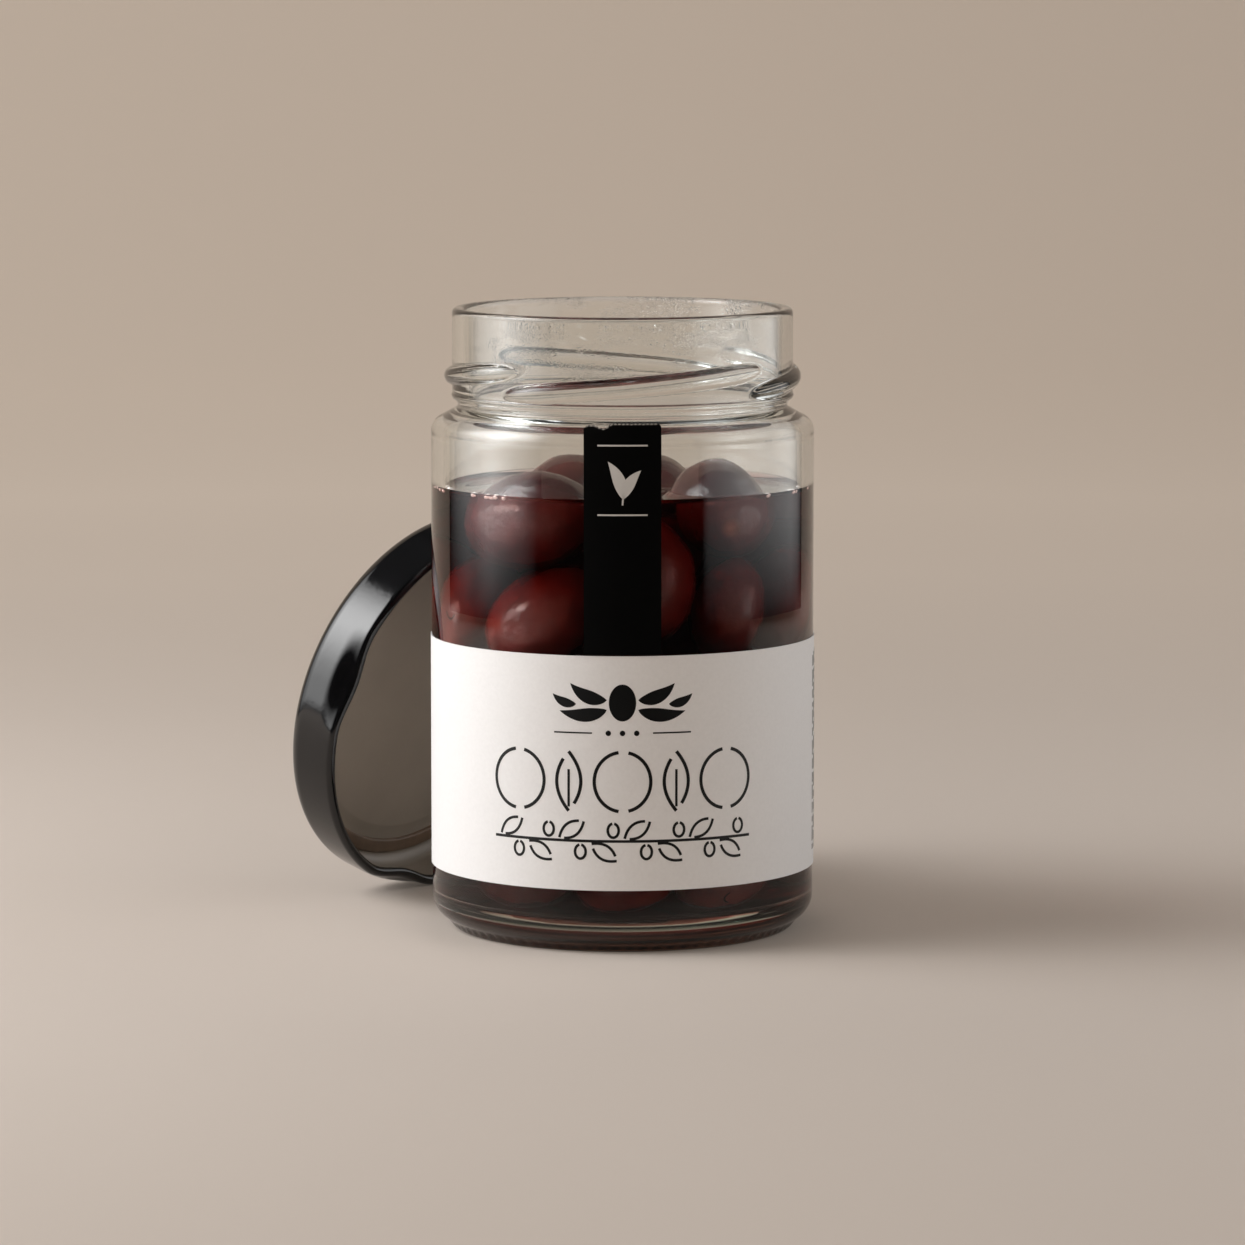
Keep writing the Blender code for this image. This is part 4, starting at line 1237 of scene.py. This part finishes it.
def make_side_marks():
    """Column of short grey bars near the label's right edge, like fine print that can't be read."""
    radius = JAR_RADIUS + 0.2 * MM
    rng = np.random.default_rng(OLIVE_SEED)
    strokes = []
    for arc_length in (51.2, 52.9, 54.6):
        z = 15.0
        while z < 52.0:
            long = rng.uniform(0.8, 3.4)
            strokes.append(straight((arc_length, z), (arc_length, min(z + long, 53.0)), 0.8, radius))
            z += long + rng.uniform(0.5, 0.9)
    return finish_print(strokes, "side_marks", (0.16, 0.155, 0.15))


def make_strip_marks():
    """Two pale rules with a small leaf pair between them."""
    radius = JAR_RADIUS + 0.41 * MM
    strokes = [straight((-4.6, z), (4.6, z), 0.3, radius) for z in (94.1, 81.4)]
    strokes.append(full_leaf((0.1, 84.3), 7.4, 2.3, 112.0, -0.08, radius))
    strokes.append(full_leaf((0.1, 84.3), 6.2, 2.1, 58.0, 0.08, radius))
    strokes.append(ribbon(bent_line((0.0, 83.2), (0.15, 85.2), 0.0, 6), [0.3] * 7, radius))
    return finish_print(strokes, "strip_marks", (0.62, 0.61, 0.59))


def cap_pose():
    """Matrix that stands the cap, made with its open rim at z = 0, against the jar."""
    a = math.radians(CAP_AZIMUTH)
    t = math.radians(CAP_TILT)
    mouth = Vector((math.cos(t) * math.cos(a), math.cos(t) * math.sin(a), -math.sin(t)))
    side = Vector((-math.sin(a), math.cos(a), 0.0))
    up = mouth.cross(side)
    if up.z < 0.0:
        up = -up
    place = Vector((JAR_X + CAP_X, JAR_Y + CAP_Y, 0.0))
    turn = Matrix((side, up, -mouth)).transposed().to_4x4()
    return Matrix.Translation(place) @ turn


def cap_outline(sizes):
    """Closed section of the sheet: over the panel, down the skirt, round the curl and back."""
    top = CAP_HEIGHT
    corner_r = CAP_RADIUS - CAP_CORNER_RADIUS
    corner_z = CAP_HEIGHT - CAP_CORNER_RADIUS
    inner_skirt = CAP_RADIUS - sizes.sheet
    panel_z = top - PANEL_DROP
    outline = [(0.0, panel_z)] + line((0.0, panel_z), (PANEL_RADIUS, panel_z), 12)
    outline += [(PANEL_RADIUS + 0.5 * MM, panel_z + 0.1 * MM), (PANEL_RADIUS + 1.1 * MM, top - 0.08 * MM)]
    outline += [(PANEL_RADIUS + 1.6 * MM, top), (PANEL_RADIUS + 3.2 * MM, top)]
    outline += arc(corner_r, corner_z, CAP_CORNER_RADIUS, 90, 0, 14)
    outline += line(outline[-1], (CAP_RADIUS, CURL_RADIUS + 0.3 * MM), 18)
    outline += arc(CAP_RADIUS - CURL_RADIUS, CURL_RADIUS, CURL_RADIUS, 0, -240, 20)
    outline += [(inner_skirt, 2.6 * MM)] + line((inner_skirt, 2.6 * MM), (inner_skirt, corner_z), 14)
    outline += arc(corner_r, corner_z, CAP_CORNER_RADIUS - sizes.sheet, 6, 90, 12)
    outline += [(PANEL_RADIUS + 3.2 * MM, top - sizes.sheet), (PANEL_RADIUS + 1.7 * MM, top - sizes.sheet)]
    outline += [(PANEL_RADIUS + 0.6 * MM, panel_z - sizes.sheet), (PANEL_RADIUS, panel_z - sizes.sheet)]
    outline += line(outline[-1], (0.0, panel_z - sizes.sheet), 12)
    return outline


def push_cap_lugs(cap):
    """Press the four lugs in from the rim."""
    co = points_of(cap)
    spacing = 360.0 / CAP_LUG_COUNT
    angle = np.degrees(np.arctan2(co[:, 1], co[:, 0]))
    off = (angle - CAP_LUG_PHASE + spacing / 2) % spacing - spacing / 2
    swell = 0.5 + 0.5 * np.cos(np.pi * off / CAP_LUG_HALF_ANGLE)
    push = np.where(np.abs(off) < CAP_LUG_HALF_ANGLE, swell, 0.0)
    lift = np.clip(1.0 - co[:, 2] / CAP_LUG_HEIGHT, 0.0, 1.0)
    lift = lift * lift * (3.0 - 2.0 * lift)
    radius = np.maximum(np.hypot(co[:, 0], co[:, 1]), 1e-9)
    co[:, :2] *= (1.0 - CAP_LUG_DEPTH * push * lift / radius)[:, None]
    set_points(cap, co)


def lining_faces(cap, sizes):
    """Faces of the cap's inner side, above the curl."""
    corner_r = CAP_RADIUS - CAP_CORNER_RADIUS
    corner_z = CAP_HEIGHT - CAP_CORNER_RADIUS
    middle = sizes.sheet / 2
    faces = []
    for face in cap.data.polygons:
        r = math.hypot(face.center.x, face.center.y)
        z = face.center.z
        if z < 2.3 * MM:
            continue
        if r > corner_r and z > corner_z:
            inner = math.hypot(r - corner_r, z - corner_z) < CAP_CORNER_RADIUS - middle
        elif z > corner_z:
            drop = PANEL_DROP if r < PANEL_RADIUS + 1.0 * MM else 0.1 * MM
            inner = z < CAP_HEIGHT - drop - middle
        else:
            inner = r < CAP_RADIUS - middle
        if inner and face.normal.dot(Vector((face.center.x, face.center.y, 0.0)).normalized()) < 0.8:
            faces.append(face.index)
    return faces


def stand(pieces):
    """Bring the cap's pieces to their leaning pose, with the rim on the table."""
    pose = cap_pose()
    lowest = min((pose @ vertex.co).z for vertex in pieces[0].data.vertices)
    for piece in pieces:
        piece.matrix_world = Matrix.Translation((0.0, 0.0, -lowest)) @ pose


def make_cap(sizes, colours):
    cap = lathe(cap_outline(sizes), CAP_STEPS)
    push_cap_lugs(cap)
    inside = lining_faces(cap, sizes)
    high = CAP_HEIGHT - sizes.sheet - 0.02 * MM
    low = high - 0.7 * MM
    ring_outline = [(SEAL_INNER_RADIUS, high)]
    ring_outline += arc(SEAL_INNER_RADIUS + 0.4 * MM, low + 0.35 * MM, 0.35 * MM, 180, 270, 4)
    middle = (SEAL_INNER_RADIUS + SEAL_OUTER_RADIUS) / 2
    ring_outline += [(middle, low - 0.08 * MM)]
    ring_outline += arc(SEAL_OUTER_RADIUS - 0.9 * MM, low + 0.35 * MM, 0.35 * MM, 270, 330, 3)
    ring_outline += [(SEAL_OUTER_RADIUS - 0.3 * MM, high), (SEAL_INNER_RADIUS, high)]
    ring = lathe(ring_outline, 192, closed=True)
    stand([cap, ring])
    settle_in_place(cap, "twist_cap", lacquer_material("black_lacquer", colours.lacquer, 0.1, 0.0), 50.0)
    cap.data.materials.append(lacquer_material("cap_lining", colours.lining, 0.34, 0.0))
    for index in inside:
        cap.data.polygons[index].material_index = 1
    settle_in_place(ring, "seal_ring", compound_material(colours), 50.0)
    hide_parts("cap")
    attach(cap, "root")
    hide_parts("cap_seal")
    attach(ring, "root")


# Studio, measured from the jar's axis
CAMERA_BACK = 1065.0 * MM
CAMERA_UP = 185.97 * MM
CAMERA_PITCH = 6.886
CAMERA_LENS = 164.3
SCREEN_DISTANCE = 0.52
SCREEN_LOW_Z = 2.0 * MM
# Brightness of each screen against azimuth in degrees, - to the left of the front
KEY_SCREEN = [
    (-124.0, 0.0), (-119.0, 0.5), (-112.0, 1.3), (-103.0, 2.4), (-97.0, 2.6), (-92.0, 3.6), (-87.0, 4.5),
    (-82.0, 4.6), (-78.0, 3.7), (-73.0, 3.1), (-69.0, 2.4), (-64.0, 1.8), (-60.0, 1.3), (-56.0, 0.7),
    (-50.0, 0.0),
]
FILL_SCREEN = [
    (47.0, 0.0), (51.0, 0.5), (60.0, 0.7), (70.0, 0.9), (80.0, 0.98), (90.0, 1.1), (105.0, 1.25),
    (118.0, 1.2), (126.0, 0.7), (133.0, 0.0),
]
# Brightness of each screen against height in metres
KEY_RISE = [
    (0.0, 0.0), (0.04, 0.7), (0.12, 0.75), (0.2, 1.1), (0.32, 2.1), (0.42, 2.5), (0.52, 2.3), (0.66, 1.6),
    (0.8, 0.8),
]
FILL_RISE = [(0.0, 0.0), (0.03, 1.1), (0.18, 1.1), (0.3, 0.95), (0.5, 0.55), (0.8, 0.3)]
# Painted dark reflection: distances in front of the jar over which mirrored rays see the stage dark
PAINTED_DARK_FRONT = (0.05, 0.12)
GLOW_REACH = 3.0
GLOW_LEAN = 0.2
# Painted light: glow of the far floor, as (share of its reach, grey)
GLOW_STOPS = [
    (0.04, (0.03,) * 3), (0.11, (0.09,) * 3), (0.2, (0.21,) * 3), (0.28, (0.27,) * 3), (0.42, (0.27,) * 3),
    (0.7, (0.25,) * 3), (1.0, (0.21,) * 3),
]


def add_painted_dark_reflection(material, y):
    """Factor that is 0 where a mirrored ray meets the stage far in front of the jar, else 1: there the stage
    is painted dark in reflections.
    """
    path = add_node(material, "ShaderNodeLightPath")
    sharp = add_node(material, "ShaderNodeMath", {
        0: path.outputs["Is Reflection Ray"], 1: path.outputs["Is Glossy Ray"],
    }, operation="MULTIPLY")
    front = add_node(material, "ShaderNodeMapRange", {
        "From Min": -PAINTED_DARK_FRONT[0], "From Max": -PAINTED_DARK_FRONT[1], "Value": y,
    }, interpolation_type="SMOOTHSTEP")
    dark = add_node(material, "ShaderNodeMath", {
        0: sharp.outputs["Value"], 1: front.outputs["Result"],
    }, operation="MULTIPLY")
    seen = add_node(material, "ShaderNodeMath", {0: 1.0, 1: dark.outputs["Value"]}, operation="SUBTRACT")
    return seen


def stage_material(colours):
    """Matte table whose far part glows a little as painted light for a lit backdrop, more on the key's side.
    """
    material, shader = new_material("studio_table")
    material.cycles.emission_sampling = "NONE"
    place = add_node(material, "ShaderNodeTexCoord")
    apart = add_node(material, "ShaderNodeVectorMath", operation="LENGTH")
    centre = add_node(material, "ShaderNodeVectorMath", {
        1: (JAR_X, JAR_Y, 0.0), 0: place.outputs["Object"],
    }, operation="SUBTRACT")
    link(material, centre.outputs["Vector"], apart.inputs[0])
    share = add_node(material, "ShaderNodeMath", {
        1: GLOW_REACH, 0: apart.outputs["Value"],
    }, operation="DIVIDE")
    far = add_ramp(material, share.outputs["Value"], GLOW_STOPS)
    sideways = add_node(material, "ShaderNodeSeparateXYZ", {"Vector": centre.outputs["Vector"]})
    towards_key = add_node(material, "ShaderNodeMapRange", {
        "From Min": -0.4, "From Max": 0.4, "To Min": 1.0 + GLOW_LEAN, "To Max": 1.0 - GLOW_LEAN,
        "Value": sideways.outputs["X"],
    })
    level = add_node(material, "ShaderNodeMath", {
        0: far.outputs["Color"], 1: towards_key.outputs["Result"],
    }, operation="MULTIPLY")
    seen = add_painted_dark_reflection(material, sideways.outputs["Y"])
    shown = add_node(material, "ShaderNodeMath", {
        0: level.outputs["Value"], 1: seen.outputs["Value"],
    }, operation="MULTIPLY")
    # Painted dark reflection: mirrored rays see the stage in front dark and without glow
    tone = add_node(material, "ShaderNodeMix", {
        "A": (0.02, 0.02, 0.02, 1.0), "B": (*colours.floor, 1.0), "Factor": seen.outputs["Value"],
    }, data_type="RGBA")
    link(material, tone.outputs["Result"], shader.inputs["Base Color"])
    shader.inputs["Roughness"].default_value = 0.85
    shader.inputs["Specular IOR Level"].default_value = 0.15
    shader.inputs["Emission Color"].default_value = (1.0, 0.87, 0.735, 1.0)
    link(material, shown.outputs["Value"], shader.inputs["Emission Strength"])
    return material


def make_floor(colours):
    outline = [(0.0, 0.0)] + line((0.0, 0.0), (1.3, 0.0), 12)
    outline += arc(1.3, 0.8, 0.8, -90, 0, 14)
    outline += line(outline[-1], (2.1, 2.6), 3)
    floor = lathe(outline, 96)
    to_jar(floor)
    settle_in_place(floor, "studio_floor", stage_material(colours), 60.0)
    face_outwards(floor, inside=True)


def screen_material(name, stops, rise_stops):
    """Light that leaves the screen's inner side only, by azimuth and by height."""
    material, shader = new_material(name)
    nodes = material.node_tree.nodes
    nodes.remove(shader)
    place = add_node(material, "ShaderNodeTexCoord")
    centre = add_node(material, "ShaderNodeVectorMath", {
        1: (JAR_X, JAR_Y, 0.0), 0: place.outputs["Object"],
    }, operation="SUBTRACT")
    axes = add_node(material, "ShaderNodeSeparateXYZ", {"Vector": centre.outputs["Vector"]})
    forward = add_node(material, "ShaderNodeMath", {1: -1.0, 0: axes.outputs["Y"]}, operation="MULTIPLY")
    azimuth = add_node(material, "ShaderNodeMath", {
        0: axes.outputs["X"], 1: forward.outputs["Value"],
    }, operation="ARCTAN2")
    start, end = stops[0][0], stops[-1][0]
    share = add_node(material, "ShaderNodeMapRange", {
        "From Min": math.radians(start), "From Max": math.radians(end),
        "Value": azimuth.outputs["Value"],
    })
    peak = max(value for _, value in stops)
    ramp_stops = [((angle - start) / (end - start), (value / peak,) * 3) for angle, value in stops]
    across = add_ramp(material, share.outputs["Result"], ramp_stops)
    height = rise_stops[-1][0]
    lift = add_node(material, "ShaderNodeMath", {1: height, 0: axes.outputs["Z"]}, operation="DIVIDE")
    top = max(value for _, value in rise_stops)
    rise_shares = [(z / height, (value / top,) * 3) for z, value in rise_stops]
    rise = add_ramp(material, lift.outputs["Value"], rise_shares)
    both = add_node(material, "ShaderNodeMath", {
        0: across.outputs["Color"], 1: rise.outputs["Color"],
    }, operation="MULTIPLY")
    side = add_node(material, "ShaderNodeNewGeometry")
    front = add_node(material, "ShaderNodeMath", {
        0: 1.0, 1: side.outputs["Backfacing"],
    }, operation="SUBTRACT")
    lit = add_node(material, "ShaderNodeMath", {
        0: both.outputs["Value"], 1: front.outputs["Value"],
    }, operation="MULTIPLY")
    strength = add_node(material, "ShaderNodeMath", {
        1: peak * top, 0: lit.outputs["Value"],
    }, operation="MULTIPLY")
    glow = add_node(material, "ShaderNodeEmission", {"Strength": strength.outputs["Value"]})
    link(material, glow.outputs["Emission"], nodes["Material Output"].inputs["Surface"])
    return material


def add_screen(name, stops, rise_stops):
    """Curved upright screen of light round the jar, that the camera doesn't see."""
    start, end = math.radians(stops[0][0]), math.radians(stops[-1][0])
    outline = [(SCREEN_DISTANCE, SCREEN_LOW_Z)]
    outline += line(outline[-1], (SCREEN_DISTANCE, rise_stops[-1][0]), 8)
    screen = lathe(outline, 16, end - start)
    co = points_of(screen)
    angle = np.arctan2(co[:, 1], co[:, 0])
    turn = start - math.pi / 2 - angle.min()
    radius = np.hypot(co[:, 0], co[:, 1])
    co[:, 0] = radius * np.cos(angle + turn)
    co[:, 1] = radius * np.sin(angle + turn)
    set_points(screen, co)
    to_jar(screen)
    settle_in_place(screen, name, screen_material(name + "_light", stops, rise_stops))
    middle = screen.data.polygons[0]
    if middle.normal.dot(middle.center - Vector((JAR_X, JAR_Y, middle.center.z))) > 0.0:
        make_active(screen)
        bpy.ops.object.mode_set(mode="EDIT")
        bpy.ops.mesh.select_all(action="SELECT")
        bpy.ops.mesh.flip_normals()
        bpy.ops.object.mode_set(mode="OBJECT")
    screen.visible_camera = False


def make_lights():
    add_screen("key_screen", KEY_SCREEN, KEY_RISE)
    add_screen("fill_screen", FILL_SCREEN, FILL_RISE)
    fresh_start()
    bpy.ops.object.light_add(type="AREA", location=(JAR_X, JAR_Y + 0.1, 1.1))
    top = bpy.context.object
    top.name = "top_softbox"
    top.data.shape = "RECTANGLE"
    top.data.size = 1.2
    top.data.size_y = 1.0
    top.data.energy = 0.04 * math.pi * top.data.size * top.data.size_y
    top.visible_camera = False


def make_world():
    world = bpy.data.worlds.new("studio")
    world.use_nodes = True
    world.node_tree.nodes["Background"].inputs["Color"].default_value = (0.02, 0.02, 0.02, 1.0)
    world.node_tree.nodes["Background"].inputs["Strength"].default_value = 1.0
    bpy.context.scene.world = world


def make_camera():
    fresh_start()
    bpy.ops.object.camera_add(
        location=(JAR_X, JAR_Y - CAMERA_BACK, CAMERA_UP),
        rotation=(math.radians(90.0 - CAMERA_PITCH), 0.0, 0.0),
    )
    camera = bpy.context.object
    camera.name = "photo_camera"
    camera.data.sensor_width = 36.0
    camera.data.lens = CAMERA_LENS
    camera.data.clip_start = 0.05
    camera.data.clip_end = 20.0
    bpy.context.scene.camera = camera
    bpy.context.scene.view_settings.view_transform = "Standard"


class OLIVEJAR_OT_stage(bpy.types.Operator):
    """Make the table, the backdrop, the soft lights and the camera"""

    bl_idname = "olivejar.stage"
    bl_label = "Stage"

    def execute(self, context):
        make_floor(context.scene.olive_jar_colours)
        make_lights()
        make_world()
        make_camera()
        return {"FINISHED"}


class OLIVEJAR_OT_glass(bpy.types.Operator):
    """Turn the glass jar and raise its thread lugs"""

    bl_idname = "olivejar.glass"
    bl_label = "Glass Jar"

    def execute(self, context):
        make_glass(context.scene.olive_jar_sizes)
        return {"FINISHED"}


class OLIVEJAR_OT_olives(bpy.types.Operator):
    """Settle the olives in the jar round their core"""

    bl_idname = "olivejar.olives"
    bl_label = "Olives"

    def execute(self, context):
        make_olives(context.scene.olive_jar_sizes, context.scene.olive_jar_colours)
        make_core(context.scene.olive_jar_sizes)
        return {"FINISHED"}


class OLIVEJAR_OT_brine(bpy.types.Operator):
    """Fill the jar with brine up to its level"""

    bl_idname = "olivejar.brine"
    bl_label = "Brine"

    def execute(self, context):
        make_brine(context.scene.olive_jar_sizes, context.scene.olive_jar_colours)
        make_bubbles(context.scene.olive_jar_sizes)
        return {"FINISHED"}


class OLIVEJAR_OT_paper(bpy.types.Operator):
    """Wrap the label and the torn seal strip round the glass"""

    bl_idname = "olivejar.paper"
    bl_label = "Label and Seal Strip"

    def execute(self, context):
        make_label(context.scene.olive_jar_sizes, context.scene.olive_jar_colours)
        make_strip(context.scene.olive_jar_sizes, context.scene.olive_jar_colours)
        make_label_print(context.scene.olive_jar_colours)
        make_side_marks()
        make_strip_marks()
        return {"FINISHED"}


class OLIVEJAR_OT_cap(bpy.types.Operator):
    """Form the twist cap with its sealing ring and lean it on the jar"""

    bl_idname = "olivejar.cap"
    bl_label = "Twist Cap"

    def execute(self, context):
        make_cap(context.scene.olive_jar_sizes, context.scene.olive_jar_colours)
        return {"FINISHED"}


class OLIVEJAR_PT_panel(bpy.types.Panel):
    bl_label = "Olive Jar"
    bl_idname = "OLIVEJAR_PT_panel"
    bl_space_type = "VIEW_3D"
    bl_region_type = "UI"
    bl_category = "Olive Jar"

    def draw(self, context):
        for settings in (context.scene.olive_jar_sizes, context.scene.olive_jar_colours):
            box = self.layout.box()
            for name in settings.bl_rna.properties.keys():
                if name not in ("rna_type", "name"):
                    box.prop(settings, name)
        for step in STEPS:
            self.layout.operator(step.bl_idname)


STEPS = (
    OLIVEJAR_OT_stage, OLIVEJAR_OT_glass, OLIVEJAR_OT_olives,
    OLIVEJAR_OT_brine, OLIVEJAR_OT_paper, OLIVEJAR_OT_cap,
)
CLASSES = (OliveJarSizes, OliveJarColours, *STEPS, OLIVEJAR_PT_panel)


def register():
    for cls in CLASSES:
        bpy.utils.register_class(cls)
    bpy.types.Scene.olive_jar_sizes = PointerProperty(type=OliveJarSizes)
    bpy.types.Scene.olive_jar_colours = PointerProperty(type=OliveJarColours)


def unregister():
    del bpy.types.Scene.olive_jar_colours
    del bpy.types.Scene.olive_jar_sizes
    for cls in reversed(CLASSES):
        bpy.utils.unregister_class(cls)


def main():
    register()
    bpy.ops.olivejar.stage()
    bpy.ops.olivejar.glass()
    bpy.ops.olivejar.olives()
    bpy.ops.olivejar.brine()
    bpy.ops.olivejar.paper()
    bpy.ops.olivejar.cap()


if __name__ == "__main__":
    main()
